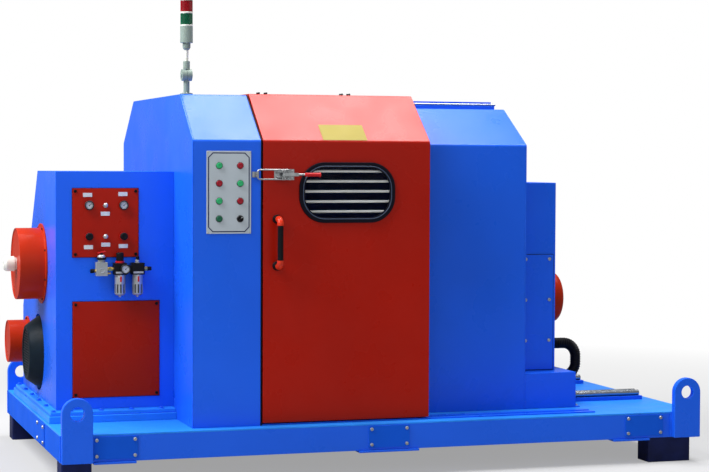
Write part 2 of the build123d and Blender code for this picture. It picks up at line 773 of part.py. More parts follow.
def shutoff_valve():
    """Valve block with its stem, dome and lever."""
    z0 = AIR_Z - VALVE_HEIGHT / 2
    z1 = AIR_Z + VALVE_HEIGHT / 2
    x = (VALVE_X0 + VALVE_X1) / 2
    body = block(VALVE_X0, VALVE_X1, AIR_Y - VALVE_DEPTH / 2, AIR_Y + VALVE_DEPTH / 2, z0, z1)
    neck = rod_z(VALVE_NECK_RADIUS, z1, z1 + VALVE_NECK_HEIGHT, x, AIR_Y)
    dome_foot = z1 + VALVE_NECK_HEIGHT
    dome = rod_z(VALVE_DOME_RADIUS, dome_foot, dome_foot + VALVE_DOME_HEIGHT, x, AIR_Y)
    return body + neck + dome + valve_lever(x, dome_foot + VALVE_DOME_HEIGHT)


def valve_lever(x, z0):
    """Short lever across the top of the valve's dome."""
    half = VALVE_LEVER_WIDTH / 2
    bar = block(x - half, x + VALVE_LEVER_LENGTH - half, AIR_Y - half, AIR_Y + half,
                z0, z0 + VALVE_LEVER_THICKNESS)
    return fillet(bar.edges().filter_by(Axis.Z), radius=half * 0.9)


def air_fittings():
    """Brass fittings between and outside the valve and the air bodies."""
    out_x = LUBRICATOR_X + AIR_BODY_WIDTH / 2
    inlet = rod_x(FITTING_RADIUS, VALVE_X0 - FITTING_LENGTH, VALVE_X0, AIR_Y, AIR_Z)
    nipple = rod_x(NIPPLE_RADIUS, VALVE_X1, VALVE_X1 + NIPPLE_LENGTH, AIR_Y, AIR_Z)
    outlet = rod_x(FITTING_RADIUS, out_x, out_x + FITTING_LENGTH, AIR_Y, AIR_Z)
    return together(inlet, nipple, outlet)


def air_body(x):
    """Rounded block of the air set."""
    half = AIR_BODY_WIDTH / 2
    z0 = AIR_Z - AIR_BODY_HEIGHT / 2
    body = block(x - half, x + half, AIR_Y - AIR_BODY_DEPTH / 2, AIR_Y + AIR_BODY_DEPTH / 2,
                 z0, z0 + AIR_BODY_HEIGHT)
    return fillet(body.edges().filter_by(Axis.Z), radius=AIR_BODY_ROUND)


def air_service_unit():
    """Filter regulator and lubricator heads, with their link, bracket, knob and sight glass."""
    z1 = AIR_Z + AIR_BODY_HEIGHT / 2
    link = block(FILTER_X, LUBRICATOR_X, AIR_Y - AIR_LINK_DEPTH / 2, AIR_Y + AIR_LINK_DEPTH / 2,
                 AIR_Z - AIR_LINK_HEIGHT / 2, AIR_Z + AIR_LINK_HEIGHT / 2)
    middle = (FILTER_X + LUBRICATOR_X) / 2
    bracket = block(middle - AIR_BRACKET_WIDTH / 2, middle + AIR_BRACKET_WIDTH / 2, AIR_Y, STOCK_FRONT,
                    AIR_Z - AIR_BRACKET_HEIGHT / 2, AIR_Z + AIR_BRACKET_HEIGHT / 2)
    neck_top = z1 + AIR_KNOB_NECK
    neck = rod_z(SIGHT_RADIUS, z1, neck_top, FILTER_X, AIR_Y)
    knob = rod_z(AIR_KNOB_RADIUS, neck_top, z1 + AIR_KNOB_HEIGHT, FILTER_X, AIR_Y)
    sight = rod_z(SIGHT_RADIUS, z1, z1 + SIGHT_HEIGHT, LUBRICATOR_X, AIR_Y)
    return air_body(FILTER_X) + air_body(LUBRICATOR_X) + link + bracket + neck + knob + sight


def air_bowl(x):
    """Bowl hanging under an air body, rounded at its foot, with a drain."""
    z1 = AIR_Z - AIR_BODY_HEIGHT / 2
    z0 = z1 - BOWL_HEIGHT
    cup = rod_z(BOWL_RADIUS, z0, z1, x, AIR_Y)
    cup = fillet(cup.edges().sort_by(Axis.Z)[0], radius=BOWL_ROUND)
    return cup + rod_z(BOWL_DRAIN_RADIUS, z0 - BOWL_DRAIN_HEIGHT, z0, x, AIR_Y)


def air_bowls():
    """Filter bowl and oil bowl."""
    return together(air_bowl(FILTER_X), air_bowl(LUBRICATOR_X))


# Hood

def hood_outline(front, shoulder, top, front_setback, rear_setback, foot):
    """Section of the hood: upright sides, sloping shoulders and a flat top."""
    return [(front, foot), (front, DECK_TOP + shoulder), (front + front_setback, DECK_TOP + top),
            (HOOD_REAR - rear_setback, DECK_TOP + top), (HOOD_REAR, DECK_TOP + shoulder), (HOOD_REAR, foot)]


def left_outline(foot):
    """Section of the left part of the hood."""
    return hood_outline(HOOD_FRONT, HOOD_SHOULDER, HOOD_TOP, HOOD_SETBACK, HOOD_SETBACK, foot)


def right_outline(foot):
    """Section of the lower right part of the hood, which the door passes over."""
    return hood_outline(RIGHT_FRONT, RIGHT_SHOULDER, RIGHT_TOP, RIGHT_FRONT_SETBACK, RIGHT_REAR_SETBACK, foot)


def hood_face(points):
    """Hood section's face with its four bends rounded."""
    face = outline_face(points)
    return fillet(face.vertices().sort_by(Axis.Z)[2:], radius=BEND_RADIUS)


def hood_shell(outline, x0, x1):
    """Bent sheet that follows a hood section, open at its foot."""
    inner = offset(hood_face(outline(DECK_TOP - HOOD_WALL)), amount=-HOOD_WALL, kind=Kind.INTERSECTION)
    return along_x(hood_face(outline(DECK_TOP)), x0, x1) - along_x(inner, x0, x1)


def hood_left_shell():
    """Left part of the hood with the flange round its open end."""
    shell = hood_shell(left_outline, HOOD_X0 + HOOD_WALL, HOOD_X1)
    x0 = HOOD_X1 - HOOD_WALL
    inner = drawn_in(left_outline(DECK_TOP - HOOD_FLANGE), HOOD_FLANGE)
    return shell + along_x(hood_face(left_outline(DECK_TOP)), x0, HOOD_X1) - along_x(inner, x0, HOOD_X1)


def hood_right_shell():
    """Right part of the hood, set in so that the door passes over it."""
    return hood_shell(right_outline, RIGHT_X0, RIGHT_X1 - HOOD_WALL)


def hood_end_walls():
    """Walls between the chamber and the two headstocks."""
    left = along_x(hood_face(left_outline(DECK_TOP)), HOOD_X0, HOOD_X0 + HOOD_WALL)
    right = along_x(hood_face(right_outline(DECK_TOP)), RIGHT_X1 - HOOD_WALL, RIGHT_X1)
    return together(left, right)


def hood_rear_panel():
    """Fixed rear and top behind the door, with a lip along its front edge."""
    shell = hood_shell(right_outline, HOOD_X1, RIGHT_X0)
    front = block(HOOD_X1 - CUT_OVERRUN, RIGHT_X0 + CUT_OVERRUN, RIGHT_FRONT - CUT_OVERRUN, RIGHT_BROW,
                  DECK_TOP - CUT_OVERRUN, RIGHT_CROWN + CUT_OVERRUN)
    lip = block(HOOD_X1, RIGHT_X0, RIGHT_BROW, RIGHT_BROW + HOOD_WALL, RIGHT_CROWN - REAR_LIP, RIGHT_CROWN)
    return shell - front + lip


def door_seal():
    """Rubber strip on the left part's edge, facing the door."""
    x1 = HOOD_X1 + SEAL_THICKNESS
    inner = drawn_in(left_outline(DECK_TOP - DOOR_LEFT_RETURN), DOOR_LEFT_RETURN)
    strip = along_x(hood_face(left_outline(DECK_TOP)), HOOD_X1, x1) - along_x(inner, HOOD_X1, x1)
    rear = block(HOOD_X1 - CUT_OVERRUN, x1 + CUT_OVERRUN, RIGHT_BROW - RAIL_FRONT_GAP, HOOD_REAR + CUT_OVERRUN,
                 DECK_TOP - CUT_OVERRUN, DOOR_CROWN + CUT_OVERRUN)
    return strip - rear


def rail_beams():
    """Bar along the hood's top that carries the door's rail, and the angle behind it."""
    bar = block(HOOD_X1, RAIL_X1, RAIL_Y - RAIL_BEAM_WIDTH / 2, RAIL_Y + RAIL_BEAM_WIDTH / 2,
                RIGHT_CROWN, RIGHT_CROWN + RAIL_BEAM_HEIGHT)
    return together(bar, rail_angle())


def door_rail():
    """Round rail on the beam."""
    return rod_x(RAIL_RADIUS, HOOD_X1 + SEAL_THICKNESS, RAIL_X1 + RAIL_TIP, RAIL_Y, RAIL_Z)


def rail_angle():
    """Upright angle behind the rail."""
    z1 = DOOR_CROWN - DOOR_WALL - RAIL_ANGLE_RUN_GAP
    z0 = RIGHT_CROWN
    tip = RAIL_ANGLE_Y + RAIL_ANGLE_WIDTH
    wall = RAIL_ANGLE_Y + RAIL_ANGLE_WALL
    outline = [(RAIL_ANGLE_Y, z0), (RAIL_ANGLE_Y, z1), (wall, z1), (wall, z0 + RAIL_ANGLE_WALL),
               (tip, z0 + RAIL_ANGLE_WALL), (tip, z0)]
    return along_x(outline_face(outline), HOOD_X1, RAIL_X1)


def floor_guide():
    """Two low bars on the deck that the door's foot runs over."""
    bars = []
    for number in range(2):
        y0 = HOOD_FRONT + GUIDE_FRONT_INSET + number * GUIDE_SPACING
        bars.append(block(DOOR_X0, BASE_LEFT + GUIDE_END, y0, y0 + GUIDE_WIDTH,
                          DECK_TOP, DECK_TOP + GUIDE_HEIGHT))
    return together(*bars)


# Sliding door

def door_outline(foot, rear):
    """Section of the door: upright front, slope and top."""
    return [(DOOR_FACE, foot), (DOOR_FACE, DOOR_SHOULDER), (DOOR_FACE + DOOR_SETBACK, DOOR_CROWN),
            (rear, DOOR_CROWN), (rear, foot)]


def door_face(foot, rear):
    """Door section's face with the bends of its shoulder and crown rounded."""
    face = outline_face(door_outline(foot, rear))
    front = face.vertices().sort_by(Axis.Y)[:3]
    return fillet(front.sort_by(Axis.Z)[1:], radius=BEND_RADIUS)


def door_inside():
    """Face of the space inside the door's sheet."""
    return offset(door_face(DOOR_FOOT - DOOR_WALL, DOOR_TOP_REAR + DOOR_WALL), amount=-DOOR_WALL,
                  kind=Kind.INTERSECTION)


def door_end_plate(inner, x0):
    """Plate between the door's outline and an inner face, stopped before the rail."""
    rim = DOOR_WALL
    plate = along_x(door_face(DOOR_FOOT, DOOR_TOP_REAR), x0, x0 + rim)
    behind = block(x0 - CUT_OVERRUN, x0 + rim + CUT_OVERRUN, RIGHT_BROW - RAIL_FRONT_GAP,
                   DOOR_TOP_REAR + CUT_OVERRUN, DOOR_FOOT - CUT_OVERRUN, DOOR_CROWN - DOOR_WALL)
    return plate - along_x(inner, x0, x0 + rim) - behind


def window_outline(lap):
    """The window's rounded outline drawn in by a lap, in the door's plane."""
    shape = RectangleRounded(WINDOW_WIDTH - lap * 2, WINDOW_HEIGHT - lap * 2, WINDOW_CORNER - lap)
    return Pos(WINDOW_X, 0, WINDOW_Z) * Rot(90, 0, 0) * shape


def along_y(face, y0, y1):
    """Carry a face of the XZ plane from y0 to y1."""
    return extrude(Pos(0, y0, 0) * face, amount=y1 - y0, dir=(0, 1, 0))


def door_shell():
    """Door's bent sheet with its end plates and the window's opening."""
    inside = door_inside()
    outer = door_face(DOOR_FOOT, DOOR_TOP_REAR)
    sheet = along_x(outer, DOOR_X0, DOOR_X1) - along_x(inside, DOOR_X0, DOOR_X1)
    narrow = drawn_in(door_outline(DOOR_FOOT - DOOR_LEFT_RETURN, DOOR_TOP_REAR + DOOR_LEFT_RETURN),
                      DOOR_LEFT_RETURN)
    passing = offset(outline_face(right_outline(DECK_TOP - DOOR_RUN_GAP)), amount=DOOR_RUN_GAP,
                     kind=Kind.INTERSECTION)
    left_plate = door_end_plate(narrow, DOOR_X0)
    right_plate = door_end_plate(passing, DOOR_X1 - DOOR_WALL)
    opening = along_y(window_outline(GASKET_LAP), DOOR_FACE - CUT_OVERRUN, DOOR_INNER + CUT_OVERRUN)
    return sheet + left_plate + right_plate - opening


def window_gasket():
    """Rubber frame round the window, proud of the door."""
    y0 = DOOR_FACE - GASKET_THICKNESS
    ring = along_y(window_outline(0), y0, DOOR_FACE)
    front = ring.faces().sort_by(Axis.Y)[0]
    ring = fillet(front.edges(), radius=GASKET_ROUND)
    return ring - along_y(window_outline(GASKET_WIDTH), y0 - CUT_OVERRUN, DOOR_FACE + CUT_OVERRUN)


def window_glass():
    """Pane in the door's opening, behind the gasket."""
    return along_y(window_outline(GASKET_LAP), DOOR_FACE, DOOR_INNER)


def window_guard():
    """Guard bars behind the pane on two upright strips."""
    x0 = WINDOW_X - WINDOW_WIDTH / 2 - GUARD_STRIP_GAP
    x1 = WINDOW_X + WINDOW_WIDTH / 2 + GUARD_STRIP_GAP
    y1 = DOOR_INNER + GUARD_STRIP_DEPTH
    half = WINDOW_HEIGHT / 2
    guard = block(x0 - GUARD_STRIP_WIDTH, x0, DOOR_INNER, y1, WINDOW_Z - half, WINDOW_Z + half)
    guard += block(x1, x1 + GUARD_STRIP_WIDTH, DOOR_INNER, y1, WINDOW_Z - half, WINDOW_Z + half)
    y = (DOOR_INNER + y1) / 2
    for number in range(GUARD_BAR_COUNT):
        step = number - (GUARD_BAR_COUNT - 1) / 2
        z = WINDOW_Z + GUARD_BAR_RISE + step * GUARD_BAR_SPACING
        guard += rod_x(GUARD_BAR_RADIUS, x0, x1, y, z)
    return guard


def handle_bar():
    """Straight grip of the door handle."""
    x = DOOR_X0 + HANDLE_LEFT
    reach = HANDLE_SPACING / 2 - HANDLE_ELBOW_RADIUS
    z = DECK_TOP + HANDLE_CENTRE_HEIGHT
    return rod_z(HANDLE_RADIUS, z - reach, z + reach, x, DOOR_FACE - HANDLE_STANDOFF)


def handle_end(turn):
    """Elbow from the door out to the grip: turn is 1 for the upper end and -1 for the lower."""
    x = DOOR_X0 + HANDLE_LEFT
    middle = DECK_TOP + HANDLE_CENTRE_HEIGHT
    z = middle + turn * HANDLE_SPACING / 2
    corner = (x, DOOR_FACE - HANDLE_STANDOFF, z)
    inner = (x, DOOR_FACE - HANDLE_STANDOFF, middle + turn * (HANDLE_SPACING / 2 - HANDLE_ELBOW_RADIUS))
    path = FilletPolyline((x, DOOR_FACE, z), corner, inner, radius=HANDLE_ELBOW_RADIUS * 0.95)
    elbow = sweep(Plane((x, DOOR_FACE, z), z_dir=(0, -1, 0)) * Circle(HANDLE_END_RADIUS), path=path)
    return elbow + rod_y(HANDLE_PAD_RADIUS, DOOR_FACE - HANDLE_PAD_THICKNESS, DOOR_FACE, x, z)


def handle_ends():
    """Both elbows of the door handle."""
    return together(handle_end(1), handle_end(-1))


def door_carriages():
    """Blocks under the door's top that straddle the rail."""
    z1 = DOOR_CROWN - DOOR_WALL
    z0 = RAIL_Z - CARRIAGE_DROP
    slot = RAIL_RADIUS + CARRIAGE_GAP
    blocks = []
    for share in CARRIAGE_PLACE_SHARES:
        x0 = DOOR_X0 + share * DOOR_WIDTH - CARRIAGE_LENGTH / 2
        x1 = x0 + CARRIAGE_LENGTH
        body = block(x0, x1, RAIL_Y - CARRIAGE_WIDTH / 2, RAIL_Y + CARRIAGE_WIDTH / 2, z0, z1)
        groove = block(x0 - CUT_OVERRUN, x1 + CUT_OVERRUN, RAIL_Y - slot, RAIL_Y + slot,
                       z0 - CUT_OVERRUN, RAIL_Z + slot)
        blocks.append(body - groove)
    return together(*blocks)


# Toggle latch

def latch_base():
    """Latch plate on the door with two cheeks and the lever's pin."""
    y1 = DOOR_FACE - LATCH_BASE_THICKNESS
    half = LATCH_BASE_WIDTH / 2
    base = block(LATCH_X - LATCH_BASE_LEFT, LATCH_X + LATCH_BASE_RIGHT, y1, DOOR_FACE,
                 LATCH_Z - half, LATCH_Z + half)
    inner = LATCH_CHEEK_GAP / 2
    outer = inner + LATCH_CHEEK_WALL
    x0 = LATCH_X + LATCH_CHEEK_TIP - LATCH_CHEEK_LENGTH
    x1 = LATCH_X + LATCH_CHEEK_TIP
    for z0, z1 in ((LATCH_Z - outer, LATCH_Z - inner), (LATCH_Z + inner, LATCH_Z + outer)):
        cheek = block(x0, x1, LATCH_Y - LATCH_CHEEK_TIP, y1, z0, z1)
        front = cheek.edges().filter_by(Axis.Z).sort_by(Axis.Y)[:2]
        base += fillet(front, radius=LATCH_CHEEK_TIP * 0.9)
    return base + rod_z(LATCH_PIN_RADIUS, LATCH_Z - outer, LATCH_Z + outer, LATCH_X, LATCH_Y)


def latch_lever():
    """Lever on the latch's pin, with the bail's cross pin and a round rod to its grip."""
    half = LATCH_LEVER_WIDTH / 2
    x0 = LATCH_X - LATCH_LEVER_TAIL
    x1 = LATCH_X + LATCH_LEVER_LENGTH
    y0 = LATCH_Y - LATCH_LEVER_THICKNESS / 2
    y1 = LATCH_Y + LATCH_LEVER_THICKNESS / 2
    bar = block(x0, x1, y0, y1, LATCH_Z - half, LATCH_Z + half)
    bore = rod_z(LATCH_PIN_RADIUS + LATCH_PIN_GAP, LATCH_Z - half - CUT_OVERRUN, LATCH_Z + half + CUT_OVERRUN,
                 LATCH_X, LATCH_Y)
    reach = BAIL_SPAN / 2 + BAIL_EYE_WIDTH / 2
    cross = rod_z(LATCH_PIN_RADIUS, LATCH_Z - reach, LATCH_Z + reach, BAIL_X, LATCH_Y)
    rod = rod_x(LATCH_ROD_RADIUS, x1, LATCH_X + LATCH_GRIP_START, LATCH_Y, LATCH_Z)
    return bar - bore + cross + rod


def latch_grip():
    """Moulded grip on the lever's end, with a flange at its tip."""
    x0 = LATCH_X + LATCH_GRIP_START
    x1 = x0 + LATCH_GRIP_LENGTH
    grip = rod_x(LATCH_GRIP_RADIUS, x0, x1, LATCH_Y, LATCH_Z)
    grip = fillet(grip.edges().sort_by(Axis.X)[0], radius=LATCH_GRIP_RADIUS / 2)
    flange = rod_x(GRIP_FLANGE_RADIUS, x1 - GRIP_FLANGE_LENGTH, x1, LATCH_Y, LATCH_Z)
    return grip + fillet(flange.edges().filter_by(GeomType.CIRCLE), radius=GRIP_FLANGE_LENGTH / 3)


def latch_bail():
    """Bent wire loop from the lever's cross pin to the keeper, with an eye on each arm."""
    half = BAIL_SPAN / 2
    end = BAIL_X - BAIL_LENGTH
    start = BAIL_X - BAIL_EYE_RADIUS + LATCH_PIN_GAP * 2
    points = [(start, LATCH_Y, LATCH_Z + half), (end, LATCH_Y, LATCH_Z + half),
              (end, LATCH_Y, LATCH_Z - half), (start, LATCH_Y, LATCH_Z - half)]
    path = FilletPolyline(*points, radius=BAIL_BEND)
    loop = sweep(Plane(points[0], z_dir=(-1, 0, 0)) * Circle(BAIL_RADIUS), path=path)
    for z in (LATCH_Z - half, LATCH_Z + half):
        z0 = z - BAIL_EYE_WIDTH / 2
        z1 = z + BAIL_EYE_WIDTH / 2
        loop += rod_z(BAIL_EYE_RADIUS, z0, z1, BAIL_X, LATCH_Y)
    bore = rod_z(LATCH_PIN_RADIUS + LATCH_PIN_GAP, LATCH_Z - BAIL_SPAN, LATCH_Z + BAIL_SPAN, BAIL_X, LATCH_Y)
    return loop - bore


def latch_keeper():
    """Low hook on the left part of the hood that the bail reaches round."""
    x1 = HOOD_X1 - KEEPER_EDGE_GAP
    x0 = x1 - KEEPER_LENGTH
    half = KEEPER_WIDTH / 2
    plate = block(x0, x1, HOOD_FRONT - KEEPER_PLATE, HOOD_FRONT, LATCH_Z - half, LATCH_Z + half)
    lip = block(x0, x0 + KEEPER_LIP, HOOD_FRONT - KEEPER_HEIGHT, HOOD_FRONT, LATCH_Z - half, LATCH_Z + half)
    return plate + lip


# Control plate

def control_plate():
    """Plate on the hood's left part that carries the buttons."""
    x0 = HOOD_X0 + PLATE_LEFT
    z0 = DECK_TOP + PLATE_FOOT
    return block(x0, x0 + PLATE_WIDTH, HOOD_FRONT - PLATE_THICKNESS, HOOD_FRONT, z0, z0 + PLATE_HEIGHT)


def button_place(cell):
    """X, Y and Z of a button's seat on the control plate."""
    column, row = cell
    x = HOOD_X0 + PLATE_LEFT + BUTTON_COLUMN_SHARES[column] * PLATE_WIDTH
    z = DECK_TOP + PLATE_FOOT + BUTTON_ROW_SHARES[row] * PLATE_HEIGHT
    return x, HOOD_FRONT - PLATE_THICKNESS, z


def push_button():
    """Crowned push button in its bezel."""
    rim = BUTTON_HEIGHT - BUTTON_CROWN
    return turned([(0, 0), (0, BEZEL_RADIUS), (BEZEL_HEIGHT, BEZEL_RADIUS), (BEZEL_HEIGHT, BUTTON_RADIUS),
                   (rim, BUTTON_RADIUS), (BUTTON_HEIGHT, BUTTON_RADIUS - BUTTON_CROWN), (BUTTON_HEIGHT, 0)])


def selector_switch(x, y, z):
    """Turn switch with a raised pointer bar."""
    half = SELECTOR_BAR_WIDTH / 2
    reach = BUTTON_RADIUS - BUTTON_CROWN
    top = y - BUTTON_HEIGHT
    bar = block(x - half, x + half, top - SELECTOR_BAR_HEIGHT, top, z - reach, z + reach)
    return facing_front(push_button(), x, y, z) + bar


def push_buttons():
    """Two columns of push buttons, with the turn switch in the last place."""
    rows = range(len(BUTTON_ROW_SHARES))
    cells = [(column, row) for column in range(len(BUTTON_COLUMN_SHARES)) for row in rows]
    buttons = [facing_front(push_button(), *button_place(cell)) for cell in cells[:-1]]
    return together(*buttons, selector_switch(*button_place(cells[-1])))


# Right end

def right_headstock():
    """Closed housing on the right of the hood."""
    return block(RIGHT_X1, TAIL_X1, TAIL_FRONT, TAIL_REAR, DECK_TOP, DECK_TOP + TAIL_TOP)


def right_access_cover():
    """Bolted cover on the right headstock's front."""
    return block(RIGHT_X1 + TAIL_COVER_MARGIN, TAIL_X1 - TAIL_COVER_MARGIN, TAIL_FRONT - TAIL_COVER_THICKNESS,
                 TAIL_FRONT, DECK_TOP + TAIL_COVER_FOOT, DECK_TOP + TAIL_COVER_TOP)


def right_drum_cover():
    """Round cover with a soft edge on the right headstock's end."""
    drum = rod_x(TAIL_DRUM_RADIUS, 0, TAIL_DRUM_LENGTH, 0, 0)
    drum = fillet(drum.edges().sort_by(Axis.X)[-1], radius=TAIL_DRUM_ROUND)
    return Pos(TAIL_X1, TAIL_DRUM_Y, DECK_TOP + TAIL_DRUM_HEIGHT) * drum


def terminal_box():
    """Low box on the deck in front of the right headstock, with a foot flange at its end."""
    y1 = TAIL_FRONT - TAIL_COVER_THICKNESS
    wide = block(RIGHT_X1, BOX_X1, RIGHT_FRONT, y1, DECK_TOP, DECK_TOP + BOX_HEIGHT)
    past = block(TAIL_X1, BOX_X1, y1, RIGHT_FRONT + BOX_DEPTH, DECK_TOP, DECK_TOP + BOX_HEIGHT)
    lip = block(BOX_X1, BOX_X1 + BOX_FLANGE, RIGHT_FRONT, RIGHT_FRONT + BOX_DEPTH,
                DECK_TOP, DECK_TOP + BOX_FLANGE_THICKNESS)
    return wide + past + lip


def conduit_path():
    """Line of the conduit from the headstock's end out, down and back to the terminal box."""
    return FilletPolyline((TAIL_X1 + CONDUIT_NUT_LENGTH, CONDUIT_Y, CONDUIT_Z),
                          (CONDUIT_X, CONDUIT_Y, CONDUIT_Z), (CONDUIT_X, CONDUIT_Y, CONDUIT_RETURN_Z),
                          (BOX_X1 + CONDUIT_NUT_LENGTH, CONDUIT_Y, CONDUIT_RETURN_Z), radius=CONDUIT_BEND)


def conduit():
    """Conduit with a hexagon nut at each end."""
    start = (TAIL_X1 + CONDUIT_NUT_LENGTH, CONDUIT_Y, CONDUIT_Z)
    tube = sweep(Plane(start, z_dir=(1, 0, 0)) * Circle(CONDUIT_RADIUS), path=conduit_path())
    hexagon = Rot(0, 90, 0) * extrude(RegularPolygon(CONDUIT_NUT_RADIUS, 6), amount=CONDUIT_NUT_LENGTH)
    wall = Pos(TAIL_X1, CONDUIT_Y, CONDUIT_Z) * hexagon
    box = Pos(BOX_X1, CONDUIT_Y, CONDUIT_RETURN_Z) * hexagon
    return tube + wall + box


def deck_rail_supports():
    """Flat bars on the deck under the twin rails, front and rear."""
    half = DECK_RAIL_WIDTH / 2
    x0 = BASE_LEFT + DECK_RAIL_START
    bars = [block(x0, BASE_LEFT + DECK_RAIL_END, y - half, y + half, DECK_TOP, DECK_TOP + DECK_RAIL_HEIGHT)
            for y in (-DECK_RAIL_Y, DECK_RAIL_Y)]
    box_end = BOX_X1 + BOX_FLANGE
    clear = block(x0 - CUT_OVERRUN, box_end, RIGHT_FRONT, RIGHT_FRONT + BOX_DEPTH,
                  DECK_TOP, DECK_TOP + BOX_HEIGHT)
    return together(*[bar - clear for bar in bars])


def deck_rails():
    """Two pairs of round rails on the supports."""
    z = DECK_TOP + DECK_RAIL_HEIGHT + DECK_RAIL_RADIUS
    x0 = BOX_X1 + BOX_FLANGE
    x1 = BASE_LEFT + DECK_RAIL_END - DECK_RAIL_END_GAP
    rails = []
    for middle in (-DECK_RAIL_Y, DECK_RAIL_Y):
        for side in (-1, 1):
            rails.append(rod_x(DECK_RAIL_RADIUS, x0, x1, middle + side * DECK_RAIL_SPACING / 2, z))
    return together(*rails)


# Signal tower

def tower_bracket():
    """Fixed foot and stem with the lower hinge ear and its pin."""
    z0 = DECK_TOP + HOOD_TOP
    stem_top = TOWER_HINGE_Z - TOWER_EAR_RADIUS / 2
    foot = rod_z(TOWER_FOOT_RADIUS, z0, z0 + TOWER_FOOT_HEIGHT, TOWER_X0, TOWER_Y)
    stem = rod_z(TOWER_STEM_RADIUS, z0, stem_top, TOWER_X0, TOWER_Y)
    ear_x1 = TOWER_X0 - TOWER_EAR_GAP / 2
    ear_x0 = ear_x1 - TOWER_EAR_WIDTH
    ear = rod_x(TOWER_EAR_RADIUS, ear_x0, ear_x1, TOWER_Y, TOWER_HINGE_Z)
    beside = block(ear_x1, TOWER_X0 + TOWER_EAR_WIDTH + CUT_OVERRUN, TOWER_Y - TOWER_EAR_RADIUS * 2,
                   TOWER_Y + TOWER_EAR_RADIUS * 2, TOWER_HINGE_Z - TOWER_EAR_RADIUS - TOWER_EAR_GAP,
                   TOWER_HINGE_Z)
    pin_x1 = TOWER_X0 + TOWER_EAR_GAP / 2 + TOWER_EAR_WIDTH
    pin = rod_x(TOWER_PIN_RADIUS, ear_x0, pin_x1, TOWER_Y, TOWER_HINGE_Z)
    return foot + (stem - beside) + ear + pin


def tower_pole():
    """Upper hinge ear with its sleeve, and the pole up to the lamp body."""
    ear_x0 = TOWER_X0 + TOWER_EAR_GAP / 2
    ear_x1 = ear_x0 + TOWER_EAR_WIDTH
    ear = rod_x(TOWER_EAR_RADIUS, ear_x0, ear_x1, TOWER_Y, TOWER_HINGE_Z)
    sleeve = rod_z(TOWER_SLEEVE_RADIUS, TOWER_HINGE_Z, DECK_TOP + TOWER_SLEEVE_TOP, TOWER_X0, TOWER_Y)
    beside = block(TOWER_X0 - TOWER_EAR_WIDTH - CUT_OVERRUN, ear_x0, TOWER_Y - TOWER_EAR_RADIUS * 2,
                   TOWER_Y + TOWER_EAR_RADIUS * 2, TOWER_HINGE_Z - TOWER_EAR_RADIUS,
                   TOWER_HINGE_Z + TOWER_EAR_RADIUS + TOWER_EAR_GAP)
    pole = rod_z(TOWER_POLE_RADIUS, DECK_TOP + TOWER_SLEEVE_TOP, DECK_TOP + TOWER_TAPER_FOOT, TOWER_X0, TOWER_Y)
    bore = rod_x(TOWER_PIN_RADIUS + TOWER_PIN_GAP, ear_x0 - CUT_OVERRUN, ear_x1 + CUT_OVERRUN,
                 TOWER_Y, TOWER_HINGE_Z)
    return ear + (sleeve - beside) + pole - bore


def tower_body():
    """Lamp body with its stepped neck, the bands between the lenses and the cap."""
    band = TOWER_BAND_HEIGHT
    red_foot = TOWER_BODY_TOP + band + TOWER_LENS_HEIGHT
    red_top = red_foot + band + TOWER_LENS_HEIGHT
    neck = turned([(TOWER_TAPER_FOOT, 0), (TOWER_TAPER_FOOT, TOWER_TAPER_RADIUS),
                   (TOWER_COLLAR_FOOT, TOWER_COLLAR_RADIUS), (TOWER_BODY_FOOT, TOWER_COLLAR_RADIUS),
                   (TOWER_BODY_FOOT, TOWER_BODY_RADIUS), (TOWER_BODY_TOP, TOWER_BODY_RADIUS),
                   (TOWER_BODY_TOP, TOWER_BAND_RADIUS), (TOWER_BODY_TOP + band, TOWER_BAND_RADIUS),
                   (TOWER_BODY_TOP + band, 0)])
    ring = turned([(red_foot, 0), (red_foot, TOWER_BAND_RADIUS), (red_foot + band, TOWER_BAND_RADIUS),
                   (red_foot + band, 0)])
    cap = turned([(red_top, 0), (red_top, TOWER_BODY_RADIUS), (red_top + TOWER_CAP_HEIGHT, TOWER_BAND_RADIUS),
                  (red_top + TOWER_CAP_HEIGHT, 0)])
    return together(*[facing_up(shape, TOWER_X0, TOWER_Y, DECK_TOP) for shape in (neck, ring, cap)])


def tower_lens(foot):
    """One lamp lens."""
    return rod_z(TOWER_LENS_RADIUS, DECK_TOP + foot, DECK_TOP + foot + TOWER_LENS_HEIGHT, TOWER_X0, TOWER_Y)


def tower_lenses():
    """Lower and upper lamp lenses."""
    low = TOWER_BODY_TOP + TOWER_BAND_HEIGHT
    return together(tower_lens(low), tower_lens(low + TOWER_LENS_HEIGHT + TOWER_BAND_HEIGHT))


PIECES = (
    foot_blocks, base_deck, base_side_members, base_end_members, base_cross_members, base_cover_plates,
    base_pad_plates, lifting_lugs,
    headstock_plinth, headstock_flange, headstock_housing, upper_drum_cover, lower_drum_cover,
    wire_guide_nozzle, motor_fan_cowl,
    gauge_panel, access_panel, pressure_gauges, panel_knobs, shutoff_valve, air_fittings,
    air_service_unit, air_bowls,
    hood_left_shell, hood_right_shell, hood_end_walls, hood_rear_panel, door_seal,
    rail_beams, door_rail, floor_guide,
    door_shell, window_gasket, window_glass, window_guard, handle_bar, handle_ends, door_carriages,
    latch_base, latch_lever, latch_grip, latch_bail, latch_keeper,
    control_plate, push_buttons,
    right_headstock, right_access_cover, right_drum_cover, terminal_box, conduit,
    deck_rail_supports, deck_rails,
    tower_bracket, tower_pole, tower_body, tower_lenses,
)


def main():
    """Write one file for each piece."""
    os.makedirs("parts", exist_ok=True)
    for piece in PIECES:
        export_step(piece(), f"parts/{piece.__name__}.step")


main()
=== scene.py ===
"""Looks of a wire stranding machine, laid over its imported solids. All lengths are in metres."""
import json
import logging
import math
from dataclasses import dataclass, field, replace
from enum import Enum
from typing import Iterator, Sequence

import bmesh
import bpy
from mathutils import Matrix, Vector


